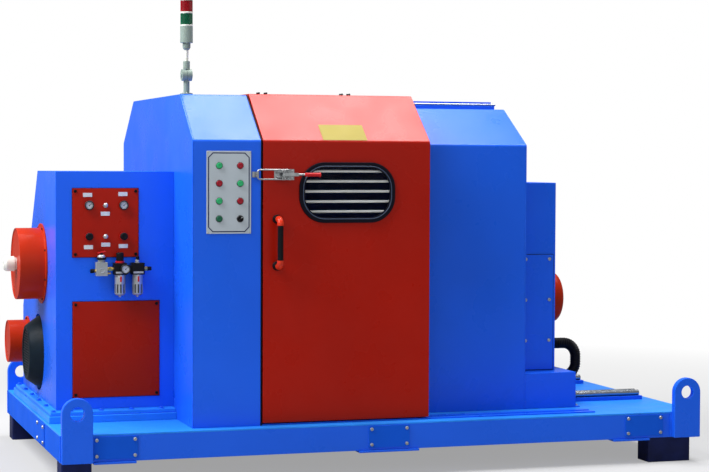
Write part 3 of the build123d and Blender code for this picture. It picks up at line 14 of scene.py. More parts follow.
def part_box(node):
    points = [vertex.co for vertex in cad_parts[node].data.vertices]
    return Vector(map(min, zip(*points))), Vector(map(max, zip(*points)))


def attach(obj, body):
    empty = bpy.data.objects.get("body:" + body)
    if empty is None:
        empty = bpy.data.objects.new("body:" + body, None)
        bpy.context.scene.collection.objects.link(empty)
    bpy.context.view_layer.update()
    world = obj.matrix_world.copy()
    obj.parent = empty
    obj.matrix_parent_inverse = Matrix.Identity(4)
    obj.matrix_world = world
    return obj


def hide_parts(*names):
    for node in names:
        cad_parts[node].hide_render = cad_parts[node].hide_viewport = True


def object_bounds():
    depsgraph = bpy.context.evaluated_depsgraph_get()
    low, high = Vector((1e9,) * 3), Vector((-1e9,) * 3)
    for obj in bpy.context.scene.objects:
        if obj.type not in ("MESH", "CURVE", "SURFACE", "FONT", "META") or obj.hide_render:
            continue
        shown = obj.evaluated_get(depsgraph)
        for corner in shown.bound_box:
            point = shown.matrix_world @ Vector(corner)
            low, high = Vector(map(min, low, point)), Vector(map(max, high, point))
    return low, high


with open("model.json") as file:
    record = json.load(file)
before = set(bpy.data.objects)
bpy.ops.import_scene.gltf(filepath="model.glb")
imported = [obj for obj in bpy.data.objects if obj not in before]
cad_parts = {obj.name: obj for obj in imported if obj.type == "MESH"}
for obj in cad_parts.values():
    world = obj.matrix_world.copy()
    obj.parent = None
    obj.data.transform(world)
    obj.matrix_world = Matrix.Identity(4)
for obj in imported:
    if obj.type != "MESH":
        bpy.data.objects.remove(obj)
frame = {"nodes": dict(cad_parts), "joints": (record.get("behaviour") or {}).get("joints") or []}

CAD_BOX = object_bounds()
SHARP_ANGLE = math.radians(35)
FLAT_ANGLE = math.radians(0.5)
WELD_REACH = 1e-5
BEVEL_SEGMENTS = 2
TINY_STEPS = 20
SMALL_STEPS = 24
ROUND_STEPS = 32
FINE_STEPS = 40
HEX = 6
FLUTE_DEPTH = 0.07
GASKET_LAP = 0.004
GASKET_DEPTH = 0.0025
COAT_ROUGHNESS = 0.22
GLOSS_DRIFT = 0.06
LEAST_ROUGHNESS = 0.02
# Edges are mixed towards a lighter colour: partly paint wear, partly a painted highlight along the edges.
WEAR_AND_HIGHLIGHT_GAIN = 1.5
WEAR_AND_HIGHLIGHT_LIFT = 0.06
WEAR_AND_HIGHLIGHT_PATCHES = (0.42, 0.62)
EDGE_RANGE = (0.72, 0.99)
PATCHES_PER_MOTTLE = 12
DRIFTS_PER_MOTTLE = 3
DRIFT_DETAIL = 4.0
GRAIN_DETAIL = 2.0
GRAIN_FLATNESS = 6
LOG = logging.getLogger("stranding_machine")

Colour = tuple[float, float, float]
Point = tuple[float, float]
Profile = Sequence[tuple[float, ...]]
Socket = bpy.types.NodeSocket


class Body(Enum):
    """Rigid bodies of the machine that carry pieces."""

    FRAME = "frame"
    DOOR = "door"
    LATCH_BAIL = "latch_bail"
    TOWER = "tower"


class Facing(Enum):
    """Ways that a piece can stand out: its own Z turned to a direction of the machine."""

    FRONT = ((1, 0, 0), (0, 0, 1), (0, -1, 0))
    REAR = ((-1, 0, 0), (0, 0, 1), (0, 1, 0))
    LEFT = ((0, -1, 0), (0, 0, 1), (-1, 0, 0))
    RIGHT = ((0, 1, 0), (0, 0, 1), (1, 0, 0))
    UP = ((1, 0, 0), (0, 1, 0), (0, 0, 1))
    DOWN = ((1, 0, 0), (0, -1, 0), (0, 0, -1))

    def at(self, place: Vector) -> Matrix:
        """Return the matrix that stands a piece on a place."""
        return Matrix.Translation(place) @ Matrix(self.value).transposed().to_4x4()


class Head(Enum):
    """Fastener heads, as lathe profiles of radius 1."""

    SOCKET = ((0, 1), (0.55, 1), (0.8, 0.86), (0.85, 0.62, HEX), (0.4, 0.58, HEX), (0.36, 0))
    HEXAGON = ((0, 1.35), (0.2, 1.35), (0.22, 1, HEX), (0.8, 1, HEX), (0.95, 0.84), (0.95, 0))


class Edge(Enum):
    """Widths of softened edges."""

    CAST = 0.004
    THICK = 0.003
    DRUM = 0.0025
    PLATE = 0.002
    SHEET = 0.0015
    THIN = 0.001
    FINE = 0.0008
    STAMPED = 0.0006
    CRISP = 0.0004
    BARE = 0.0


class Graph:
    """Shader nodes of one material."""

    # The colour sockets of a mix node come after those for numbers and vectors.
    colour_inputs: tuple[int, int] = (6, 7)
    colour_output: int = 2

    def __init__(self, name: str) -> None:
        """Start a material with its principled shader.

        Args:
            name: Name of the material.
        """
        self.material = bpy.data.materials.new(name)
        self.material.use_nodes = True
        self.tree = self.material.node_tree
        self.shader = self.tree.nodes["Principled BSDF"]
        self.place = self.tree.nodes.new("ShaderNodeTexCoord").outputs["Object"]

    def add(self, kind: str, **inputs: object) -> bpy.types.Node:
        """Add a node and set its named inputs.

        Args:
            kind: Blender's name of the node type.
            inputs: Input values, with spaces in their names written as underscores.

        Returns:
            The new node.
        """
        node = self.tree.nodes.new(kind)
        for name, value in inputs.items():
            node.inputs[name.replace("_", " ")].default_value = value
        return node

    def link(self, source: Socket, target: Socket) -> None:
        """Join an output to an input."""
        self.tree.links.new(source, target)

    def work_out(self, kind: str, operation: str, *sources: Socket) -> Socket:
        """Add a node that reckons with values.

        Args:
            kind: Blender's name of the node type.
            operation: What it does.
            sources: Values for its first inputs.

        Returns:
            The result.
        """
        node = self.tree.nodes.new(kind)
        node.operation = operation
        for source, target in zip(sources, node.inputs):
            self.link(source, target)
        return node.outputs["Value"]

    def noise(self, size: float, detail: float = 3.0, stretch: Colour = (1, 1, 1)) -> Socket:
        """Add a noise pattern in the machine's frame.

        Args:
            size: Length of one mark of the pattern.
            detail: Levels of finer noise.
            stretch: Scale of the pattern along each axis.

        Returns:
            The pattern's value, about 0.3 to 0.7.
        """
        mapping = self.add("ShaderNodeMapping", Scale=stretch)
        pattern = self.add("ShaderNodeTexNoise", Scale=1 / size, Detail=detail)
        self.link(self.place, mapping.inputs["Vector"])
        self.link(mapping.outputs["Vector"], pattern.inputs["Vector"])
        return pattern.outputs["Fac"]

    def spread(self, source: Socket, low: float, high: float, start: float = 0.3,
               end: float = 0.7) -> Socket:
        """Map a value's range to another.

        Args:
            source: Value to map.
            low: Result at start.
            high: Result at end.
            start: Lower end of the source's range.
            end: Upper end of the source's range.

        Returns:
            The mapped value.
        """
        node = self.add("ShaderNodeMapRange", From_Min=start, From_Max=end, To_Min=low, To_Max=high)
        self.link(source, node.inputs["Value"])
        return node.outputs["Result"]

    def mix(self, share: Socket, first: object, second: object) -> Socket:
        """Blend two colours by a share.

        Args:
            share: Share of the second colour.
            first: Colour or colour output at 0.
            second: Colour at 1.

        Returns:
            The blended colour.
        """
        node = self.tree.nodes.new("ShaderNodeMix")
        node.data_type = "RGBA"
        self.link(share, node.inputs["Factor"])
        for number, colour in zip(self.colour_inputs, (first, second)):
            if isinstance(colour, Socket):
                self.link(colour, node.inputs[number])
            else:
                node.inputs[number].default_value = (*colour, 1.0)
        return node.outputs[self.colour_output]

    def edges(self, radius: float) -> Socket:
        """Find the outer and inner edges of a piece.

        Args:
            radius: Reach of the mark from an edge.

        Returns:
            A value that grows from 0 on flats towards 1 on edges.
        """
        rounded = self.add("ShaderNodeBevel", Radius=radius)
        flat = self.tree.nodes.new("ShaderNodeNewGeometry")
        likeness = self.work_out("ShaderNodeVectorMath", "DOT_PRODUCT", rounded.outputs["Normal"],
                                 flat.outputs["Normal"])
        return self.spread(likeness, 1.0, 0.0, *EDGE_RANGE)

    def bump(self, height: Socket, strength: float, depth: float) -> None:
        """Put a height pattern on the shader's normal.

        Args:
            height: The pattern.
            strength: Share of the pattern that shows.
            depth: Height of the pattern's marks.
        """
        node = self.add("ShaderNodeBump", Strength=strength, Distance=depth)
        self.link(height, node.inputs["Height"])
        self.link(node.outputs["Normal"], self.shader.inputs["Normal"])


@dataclass(frozen=True)
class Finish:
    """Surface finish: colour with a mottle, gloss with a drift, a fine grain and lighter edges, partly wear
    and partly a painted highlight.
    """

    name: str
    slot: str
    colour: Colour
    roughness: float
    metallic: float = 0.0
    coat: float = 0.0
    specular: float = 0.22
    alpha: float = 1.0
    transmission: float = 0.0
    mottle: float = 0.10
    mottle_size: float = 0.25
    grain: float = 0.12
    grain_size: float = 0.004
    grain_stretch: Colour = (1, 1, 1)
    wear_and_highlight: float = 0.0
    wear_and_highlight_reach: float = 0.004

    def shade(self, factor: float, lift: float = 0.0) -> Colour:
        """Return the colour made lighter or darker by a factor and a lift, held to 1."""
        return tuple(min(1.0, part * factor + lift) for part in self.colour)

    def material(self) -> bpy.types.Material:
        """Return the finish's material, made on first use."""
        return bpy.data.materials.get(self.name) or self.make()

    def make(self) -> bpy.types.Material:
        """Build the material's nodes.

        Returns:
            The new material.
        """
        graph = Graph(self.name)
        settings = {"Metallic": self.metallic, "Coat Weight": self.coat, "Coat Roughness": COAT_ROUGHNESS,
                    "Specular IOR Level": self.specular, "Alpha": self.alpha,
                    "Transmission Weight": self.transmission}
        for name, value in settings.items():
            graph.shader.inputs[name].default_value = value
        share = graph.spread(graph.noise(self.mottle_size), 0.0, 1.0)
        colour = graph.mix(share, self.shade(1 - self.mottle), self.shade(1 + self.mottle))
        # Lighter patches along the edges: partly wear of the paint, partly a painted highlight.
        if self.wear_and_highlight:
            speckle = graph.noise(self.mottle_size / PATCHES_PER_MOTTLE)
            patches = graph.spread(speckle, 0.0, self.wear_and_highlight, *WEAR_AND_HIGHLIGHT_PATCHES)
            worn_and_highlit = graph.work_out("ShaderNodeMath", "MULTIPLY", patches, graph.edges(self.wear_and_highlight_reach))
            colour = graph.mix(worn_and_highlit, colour, self.shade(WEAR_AND_HIGHLIGHT_GAIN, WEAR_AND_HIGHLIGHT_LIFT))
        graph.link(colour, graph.shader.inputs["Base Color"])
        drift = graph.noise(self.mottle_size / DRIFTS_PER_MOTTLE, DRIFT_DETAIL)
        smoothest = max(LEAST_ROUGHNESS, self.roughness - GLOSS_DRIFT)
        gloss = graph.spread(drift, smoothest, self.roughness + GLOSS_DRIFT)
        graph.link(gloss, graph.shader.inputs["Roughness"])
        grain = graph.noise(self.grain_size, GRAIN_DETAIL, self.grain_stretch)
        graph.bump(grain, self.grain, self.grain_size / GRAIN_FLATNESS)
        return graph.material


BLUE_PAINT = Finish("blue_enamel", "blue_paint", (0.008, 0.108, 0.76), 0.30, specular=0.20, wear_and_highlight=0.5,
                    mottle=0.07, mottle_size=0.6, grain=0.10)
# Blue enamel painted lighter than the rest, as painted top light on the deck, the plinth and the flange; its
# edge marks are as in the other finishes.
DECK_PAINT_WITH_PAINTED_LIGHT = Finish("blue_enamel_with_painted_top_light", "blue_paint", (0.020, 0.225, 0.80), 0.36, specular=0.12, wear_and_highlight=0.6,
                    mottle=0.12, mottle_size=0.3, grain=0.15)
DULL_PAINT = Finish("dull_blue_enamel", "blue_paint", (0.007, 0.090, 0.62), 0.60, specular=0.03, wear_and_highlight=0.5,
                    mottle_size=0.4, grain=0.15)
RED_PAINT = Finish("red_enamel", "red_paint", (0.345, 0.006, 0.0002), 0.30, specular=0.17, wear_and_highlight=0.4,
                   mottle=0.08, mottle_size=0.5, grain=0.10)
ORANGE_PAINT = Finish("orange_enamel", "red_paint", (0.40, 0.022, 0.005), 0.28, specular=0.08, wear_and_highlight=0.4,
                      mottle=0.06, mottle_size=0.4, grain=0.10)
BLOCK_PAINT = Finish("block_enamel", "block_paint", (0.006, 0.011, 0.066), 0.5, specular=0.15, wear_and_highlight=0.6,
                     mottle=0.3, mottle_size=0.08, grain=0.3, grain_size=0.008, wear_and_highlight_reach=0.008)
RAIL_STEEL = Finish("ground_rail_steel", "rail_steel", (0.36, 0.38, 0.42), 0.24, metallic=1.0, mottle=0.05,
                    grain=0.04, grain_size=0.002, grain_stretch=(0.02, 1, 1))
LATCH_STEEL = Finish("zinc_plate", "latch_steel", (0.40, 0.42, 0.43), 0.36, metallic=0.85, mottle=0.2,
                     mottle_size=0.02, grain_size=0.002)
BOLT_STEEL = Finish("bolt_zinc", "latch_steel", (0.52, 0.53, 0.54), 0.32, metallic=0.8, mottle=0.15,
                    mottle_size=0.01)
PLATE_METAL = Finish("anodised_plate", "plate_metal", (0.43, 0.49, 0.54), 0.45, metallic=0.1, mottle=0.04,
                     grain_size=0.0015, grain_stretch=(0.03, 1, 1))
PLATE_INK = Finish("navy_ink", "plate_metal", (0.008, 0.010, 0.07), 0.5, specular=0.1, mottle=0.05)
LABEL_WHITE = Finish("blank_label", "guard_paint", (0.58, 0.62, 0.65), 0.5, mottle=0.05, mottle_size=0.02)
PLATE_YELLOW = Finish("blank_yellow_plate", "guard_paint", (0.33, 0.27, 0.075), 0.5, specular=0.03,
                      mottle=0.06)
BRASS = Finish("turned_brass", "brass_fittings", (0.60, 0.42, 0.14), 0.3, metallic=1.0, mottle=0.15,
               mottle_size=0.02, grain_size=0.001)
VALVE_METAL = Finish("die_cast", "valve_metal", (0.34, 0.36, 0.35), 0.45, metallic=0.4, mottle_size=0.02,
                     grain=0.3, grain_size=0.002)
BLACK_RUBBER = Finish("moulded_rubber", "black_rubber", (0.006, 0.006, 0.012), 0.5, specular=0.06,
                      mottle=0.2, grain=0.2, grain_size=0.003)
SEAL_LIP = Finish("rubber_filler_strip", "black_rubber", (0.05, 0.07, 0.12), 0.35)
BLACK_PLASTIC = Finish("black_moulding", "black_plastic", (0.006, 0.006, 0.008), 0.42, specular=0.11,
                       mottle=0.15, mottle_size=0.03, grain=0.25, grain_size=0.0015)
COWL_PLASTIC = Finish("charcoal_cowl", "cowl_plastic", (0.006, 0.012, 0.018), 0.42, specular=0.08,
                      mottle=0.15, mottle_size=0.05, grain=0.3, grain_size=0.003, wear_and_highlight=0.3)
WHITE_PLASTIC = Finish("white_nylon", "white_plastic", (0.66, 0.67, 0.63), 0.45, mottle=0.06,
                       mottle_size=0.03, grain=0.2, grain_size=0.002)
GREY_PLASTIC = Finish("tower_grey", "grey_plastic", (0.22, 0.28, 0.25), 0.42, mottle=0.05, mottle_size=0.05)
RED_PLASTIC = Finish("red_moulding", "red_plastic", (0.50, 0.010, 0.014), 0.3, coat=0.1, mottle=0.08,
                     mottle_size=0.02)
ORANGE_PLASTIC = replace(RED_PLASTIC, name="orange_moulding", colour=(0.58, 0.030, 0.008))
BOWL_METAL = Finish("bowl_guard", "bowl_metal", (0.46, 0.48, 0.50), 0.35, metallic=0.6, mottle=0.08,
                    mottle_size=0.02)
BOWL_LINER = Finish("bowl_liner", "black_plastic", (0.05, 0.055, 0.06), 0.15, coat=0.5, mottle=0.2,
                    mottle_size=0.01)
GAUGE_METAL = Finish("gauge_case", "gauge_metal", (0.020, 0.021, 0.024), 0.32, metallic=0.3, mottle=0.15,
                     mottle_size=0.01)
DIAL_WHITE = Finish("dial_enamel", "gauge_metal", (0.48, 0.51, 0.53), 0.35, mottle=0.03, mottle_size=0.02)
BEZEL_METAL = Finish("bezel_metal", "gauge_metal", (0.07, 0.075, 0.08), 0.3, metallic=0.6)
BUTTON_GREEN = Finish("green_button", "button_plastic", (0.020, 0.36, 0.13), 0.28, coat=0.15,
                      mottle_size=0.01)
BUTTON_RED = replace(BUTTON_GREEN, name="red_button", colour=(0.27, 0.003, 0.014))
BUTTON_DARK = replace(BUTTON_GREEN, name="dark_green_button", colour=(0.006, 0.10, 0.05))
LENS_RED = Finish("red_lens", "lens_plastic", (0.30, 0.004, 0.010), 0.2, coat=0.15, transmission=0.2,
                  mottle=0.08, mottle_size=0.02)
LENS_GREEN = replace(LENS_RED, name="green_lens", colour=(0.004, 0.11, 0.05))
GLASS = Finish("window_pane", "window_glass", (0.006, 0.007, 0.010), 0.06, specular=0.3, alpha=0.10,
               mottle=0.05, grain=0.01, grain_size=0.4)
GUARD_PAINT = Finish("guard_enamel", "guard_paint", (0.88, 0.93, 0.93), 0.4, mottle=0.08, mottle_size=0.05)


@dataclass(frozen=True)
class Box:
    """Upright box of a node or of one of its solids, by its lowest and highest corners."""

    low: Vector
    high: Vector

    @classmethod
    def of(cls, node: str) -> "Box":
        """Return the box of a whole node."""
        return cls(*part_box(node))

    @property
    def size(self) -> Vector:
        """Width, depth and height."""
        return self.high - self.low

    @property
    def radius(self) -> float:
        """Half of the width."""
        return self.size.x / 2

    @property
    def middle(self) -> Vector:
        """Centre of the box."""
        return (self.low + self.high) / 2

    def seat(self, facing: Facing = Facing.FRONT) -> Vector:
        """Return the centre of the face on which something that faces this way is seated."""
        return self.middle - Vector(facing.value[2]) * self.size / 2

    def corners(self, inset: float, facing: Facing = Facing.FRONT) -> list[Vector]:
        """Find places for fasteners near the corners of an upright face.

        Args:
            inset: Distance of each place from both edges.
            facing: Way that the face looks: left, front or rear.

        Returns:
            The four places.
        """
        across = 1 if facing is Facing.LEFT else 0
        places = []
        for side in (self.low[across] + inset, self.high[across] - inset):
            for z in (self.low.z + inset, self.high.z - inset):
                place = Vector(self.high if facing is Facing.REAR else self.low)
                place[across] = side
                place.z = z
                places.append(place)
        return places


class Shape:
    """Mesh under construction, in the machine's frame."""

    def __init__(self) -> None:
        """Start with an empty mesh."""
        self.mesh = bmesh.new()

    def loft(self, outlines: Sequence[Sequence[Vector]], capped: bool = True,
             closed: bool = False) -> "Shape":
        """Join rings of points by faces, each to the next.

        Args:
            outlines: Rings of as many points each, or of a single point.
            capped: True where a face closes the first and the last ring.
            closed: True where the last ring is joined to the first.

        Returns:
            The shape itself.
        """
        rings = [[self.mesh.verts.new(point) for point in outline] for outline in outlines]
        for low, high in zip(rings, rings[1:] + rings[:1] if closed else rings[1:]):
            self.skin(low, high)
        for ring in (rings[0], rings[-1]):
            if capped and len(ring) > 2:
                self.mesh.faces.new(ring)
        return self

    def skin(self, low: list, high: list) -> None:
        """Join two rings, or a ring and a single point, by faces.

        Args:
            low: Vertices of the first ring.
            high: Vertices of the second ring.
        """
        count = max(len(low), len(high))
        for number in range(count):
            after = (number + 1) % count
            corners = (low[number % len(low)], low[after % len(low)], high[after % len(high)],
                       high[number % len(high)])
            kept = list(dict.fromkeys(corners))
            if len(kept) > 2:
                self.mesh.faces.new(kept)

    def lathe(self, profile: Profile, *places: Vector, facing: Facing = Facing.FRONT,
              steps: int = ROUND_STEPS) -> "Shape":
        """Turn a profile about an axis at each place.

        Args:
            profile: Steps of distance along the axis, radius and, for a hexagon, its six sides.
                Negative sides are flutes of that number.
            places: Points on the axes where the distance is zero.
            facing: Way that the axes point.
            steps: Points round an axis.

        Returns:
            The shape itself.
        """
        for turn in map(facing.at, places):
            self.loft([[turn @ point for point in circle(step, steps)] for step in profile])
        return self

    def hoop(self, outer: Sequence[Point], inner: Sequence[Point], depth: float, place: Vector) -> "Shape":
        """Carry the band between two outlines of as many points forward.

        Args:
            outer: Outer outline, as points across and up.
            inner: Inner outline.
            depth: Thickness.
            place: Origin of the outlines.

        Returns:
            The shape itself.
        """
        layers = ((outer, 0), (outer, depth), (inner, depth), (inner, 0))
        return self.loft([layer(outline, height, place) for outline, height in layers], False, True)

    def prism(self, outline: Sequence[Point], depth: float, place: Vector,
              facing: Facing = Facing.FRONT) -> "Shape":
        """Carry a flat outline by a depth along the way it faces, and return the shape itself."""
        return self.loft([layer(outline, height, place, facing) for height in (0, depth)])

    def block(self, low: Sequence[float], high: Sequence[float]) -> "Shape":
        """Add a block between two corners.

        Args:
            low: Its lowest corner.
            high: Its highest corner.

        Returns:
            The shape itself.
        """
        (x0, y0, z0), (x1, y1, z1) = low, high
        outline = ((x0, y0), (x1, y0), (x1, y1), (x0, y1))
        return self.prism(outline, z1 - z0, Vector((0, 0, z0)), Facing.UP)

    def tube(self, path: Sequence[Vector], radii: Sequence[float], steps: int,
             closed: bool = False) -> "Shape":
        """Sweep a circle along a path.

        Args:
            path: Points of the path.
            radii: Radius at each point.
            steps: Points round the tube.
            closed: True where the path's end meets its start.

        Returns:
            The shape itself.
        """
        count = len(path)
        side = None
        rings = []
        for number, point in enumerate(path):
            ahead = path[(number + 1) % count] if closed or number + 1 < count else point
            behind = path[number - 1] if closed or number else point
            along = (ahead - behind).normalized()
            side = along.orthogonal() if side is None else side - along * side.dot(along)
            side.normalize()
            other = along.cross(side)
            rings.append([point + side * x + other * y for x, y in around(steps, radii[number])])
        return self.loft(rings, not closed, closed)

    def fasteners(self, head: Head, radius: float, *places: Vector,
                  facing: Facing = Facing.FRONT) -> "Shape":
        """Add screw or bolt heads, whose radius is across the corners for a hexagon."""
        profile = [(along * radius, reach * radius, *sides) for along, reach, *sides in head.value]
        return self.lathe(profile, *places, facing=facing, steps=SMALL_STEPS)

    def piece(self, name: str, finish: Finish, body: Body = Body.FRAME, edge: Edge = Edge.BARE,
              replaces: Sequence[str] = ()) -> None:
        """Turn the mesh into a piece that rides on a body.

        Args:
            name: Name of the piece.
            finish: Its finish.
            body: Body that carries it.
            edge: Width of its softened edges.
            replaces: Nodes that it stands for.
        """
        bmesh.ops.recalc_face_normals(self.mesh, faces=self.mesh.faces)
        data = bpy.data.meshes.new(name)
        self.mesh.to_mesh(data)
        self.mesh.free()
        data.shade_smooth()
        data.set_sharp_from_angle(angle=SHARP_ANGLE)
        data.materials.append(finish.material())
        made = bpy.data.objects.new(name, data)
        bpy.context.scene.collection.objects.link(made)
        soften(made, edge)
        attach(made, body.value)
        if replaces:
            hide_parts(*replaces)
        LOG.info("%s rides on %s", name, body.value)


def circle(step: Sequence[float], steps: int) -> list[Vector]:
    """Find the points of one lathe step about the Z axis.

    Args:
        step: Distance, radius and optional sides, as in Shape.lathe.
        steps: Points round the axis.

    Returns:
        One point for a radius of zero, or else the ring's points.
    """
    along, radius, sides = (*step, 0)[:3]
    if radius == 0:
        return [Vector((0, 0, along))]
    points = []
    for number in range(steps):
        angle = 2 * math.pi * number / steps
        reach = radius
        if sides > 0:
            part = 2 * math.pi / sides
            reach *= math.cos(part / 2) / math.cos(angle % part - part / 2)
        if sides < 0:
            reach *= 1 - FLUTE_DEPTH * (0.5 + 0.5 * math.cos(sides * angle))
        points.append(Vector((reach * math.cos(angle), reach * math.sin(angle), along)))
    return points


def layer(outline: Sequence[Point], height: float, place: Vector,
          facing: Facing = Facing.FRONT) -> list[Vector]:
    """Return the points of a flat outline at a height over a place."""
    return [facing.at(place) @ Vector((x, y, height)) for x, y in outline]


def around(count: int, reach: float, start: float = 0.0) -> list[Point]:
    """Return evenly spaced places on a circle, the first of them at the start angle."""
    angles = [start + 2 * math.pi * number / count for number in range(count)]
    return [(reach * math.cos(angle), reach * math.sin(angle)) for angle in angles]


def between(low: float, high: float, count: int) -> Iterator[float]:
    """Yield evenly spaced places from low to high, both ends included."""
    for number in range(count):
        yield low + (high - low) * number / (count - 1)


def turned(outline: Sequence[Point], angle: float) -> list[Point]:
    """Return a flat outline turned about its origin."""
    across, up = math.cos(angle), math.sin(angle)
    return [(x * across - y * up, x * up + y * across) for x, y in outline]


def rectangle(width: float, height: float, cut: float = 0.0) -> list[Point]:
    """Outline a centred rectangle with its corners cut off.

    Args:
        width: Whole width.
        height: Whole height.
        cut: Length cut from each side at a corner.

    Returns:
        The outline's eight points.
    """
    x, y = width / 2, height / 2
    return [(x - cut, -y), (x, cut - y), (x, y - cut), (x - cut, y),
            (cut - x, y), (-x, y - cut), (-x, cut - y), (cut - x, -y)]


def gasket(shape: Shape, box: Box, overhang: float) -> None:
    """Lay a flat gasket under the edges of a plate that faces front.

    Args:
        shape: Mesh that takes the gasket.
        box: Box of the plate.
        overhang: How much wider and higher the gasket is than the plate.
    """
    width, height = box.size.x, box.size.z
    shape.hoop(rectangle(width + overhang, height + overhang),
               rectangle(width - GASKET_LAP, height - GASKET_LAP), GASKET_DEPTH, box.seat())


def pivot(name: str) -> Vector:
    """Return the place of a joint's axis."""
    return Vector(next(joint["pos_m"] for joint in frame["joints"] if joint["name"] == name))


def soften(piece: bpy.types.Object, edge: Edge) -> None:
    """Soften a piece's sharp edges.

    Args:
        piece: Piece to soften.
        edge: Width of the bevel.
    """
    if edge is Edge.BARE:
        return
    bevel = piece.modifiers.new("soft_edges", "BEVEL")
    bevel.width = edge.value
    bevel.segments = BEVEL_SEGMENTS
    bevel.limit_method = "ANGLE"
    bevel.angle_limit = SHARP_ANGLE
    normals = piece.modifiers.new("even_normals", "WEIGHTED_NORMAL")
    normals.keep_sharp = True


def dress(finish: Finish, edge: Edge, *nodes: str) -> None:
    """Give nodes their finish and, where they show, softened edges.

    Args:
        finish: Their finish.
        edge: Width of their softened edges.
        nodes: Names of the nodes.
    """
    for node in nodes:
        piece = frame["nodes"][node]
        for slot in piece.material_slots:
            slot.material = finish.material()
        if edge is not Edge.BARE:
            weld = piece.modifiers.new("joined_corners", "WELD")
            weld.merge_threshold = WELD_REACH
            flat = piece.modifiers.new("whole_faces", "DECIMATE")
            flat.decimate_type = "DISSOLVE"
            flat.angle_limit = FLAT_ANGLE
        soften(piece, edge)
        LOG.info("%s has finish %s", node, finish.name)


def islands(node: str) -> list[Box]:
    """Find the boxes of a node's separate solids.

    Args:
        node: Name of the node.

    Returns:
        The boxes, in order of X, then Y, then Z of the lowest corner.
    """
    mesh = bmesh.new()
    mesh.from_mesh(frame["nodes"][node].data)
    bmesh.ops.remove_doubles(mesh, verts=mesh.verts, dist=WELD_REACH)
    left = set(mesh.verts)
    boxes = []
    while left:
        found = [left.pop()]
        for vertex in found:
            for edge in vertex.link_edges:
                other = edge.other_vert(vertex)
                if other in left:
                    left.remove(other)
                    found.append(other)
        boxes.append(Box(*(Vector([end(vertex.co[axis] for vertex in found) for axis in range(3)])
                           for end in (min, max))))
    mesh.free()
    return sorted(boxes, key=lambda box: [round(part, 3) for part in box.low])


@dataclass
class BaseFrame:
    """Skid base with its bolted covers, lugs and feet."""

    bolt_radius: float = 0.0075
    bolt_inset: float = 0.014
    weld_radius: float = 0.004
    weld_hollow: float = 0.8
    weld_ripple: float = 0.007
    weld_stop: float = 0.002
    weld_steps: int = 10

    def build(self) -> None:
        """Dress the base and add its bolts and welds."""
        dress(BLOCK_PAINT, Edge.THICK, "foot_blocks")
        # The deck's blue is painted lighter, as painted top light.
        dress(DECK_PAINT_WITH_PAINTED_LIGHT, Edge.SHEET, "base_deck")
        dress(BLUE_PAINT, Edge.SHEET, "base_side_members", "base_cross_members", "base_pad_plates")
        dress(DULL_PAINT, Edge.SHEET, "base_end_members")
        dress(DULL_PAINT, Edge.THIN, "base_cover_plates")
        dress(BLUE_PAINT, Edge.THICK, "lifting_lugs")
        self.cover_bolts()
        self.lug_welds()

    def cover_bolts(self) -> None:
        """Add four bolts to each cover plate."""
        bolts = Shape()
        for box in islands("base_cover_plates"):
            facing = Facing.FRONT if box.low.y < 0 else Facing.REAR
            if box.size.x < box.size.y:
                facing = Facing.LEFT
            places = box.corners(self.bolt_inset, facing)
            bolts.fasteners(Head.SOCKET, self.bolt_radius, *places, facing=facing)
        bolts.piece("cover_bolts", BOLT_STEEL)

    def lug_welds(self) -> None:
        """Add a rippled bead along each side of the lugs."""
        beads = Shape()
        deck = Box.of("base_deck").high
        radius = self.weld_radius
        for lug in islands("lifting_lugs"):
            y = lug.high.y if lug.low.y < 0 else lug.low.y
            count = 2 * int((deck.z - lug.low.z) / self.weld_ripple)
            radii = [radius if number % 2 else radius * self.weld_hollow for number in range(count)]
            for x in (lug.low.x - radius / 3, lug.high.x + radius / 3):
                if CAD_BOX[0].x < x < deck.x:
                    heights = between(lug.low.z + radius, deck.z - self.weld_stop, count)
                    beads.tube([Vector((x, y, z)) for z in heights], radii, self.weld_steps)
        beads.piece("lug_welds", BLUE_PAINT)


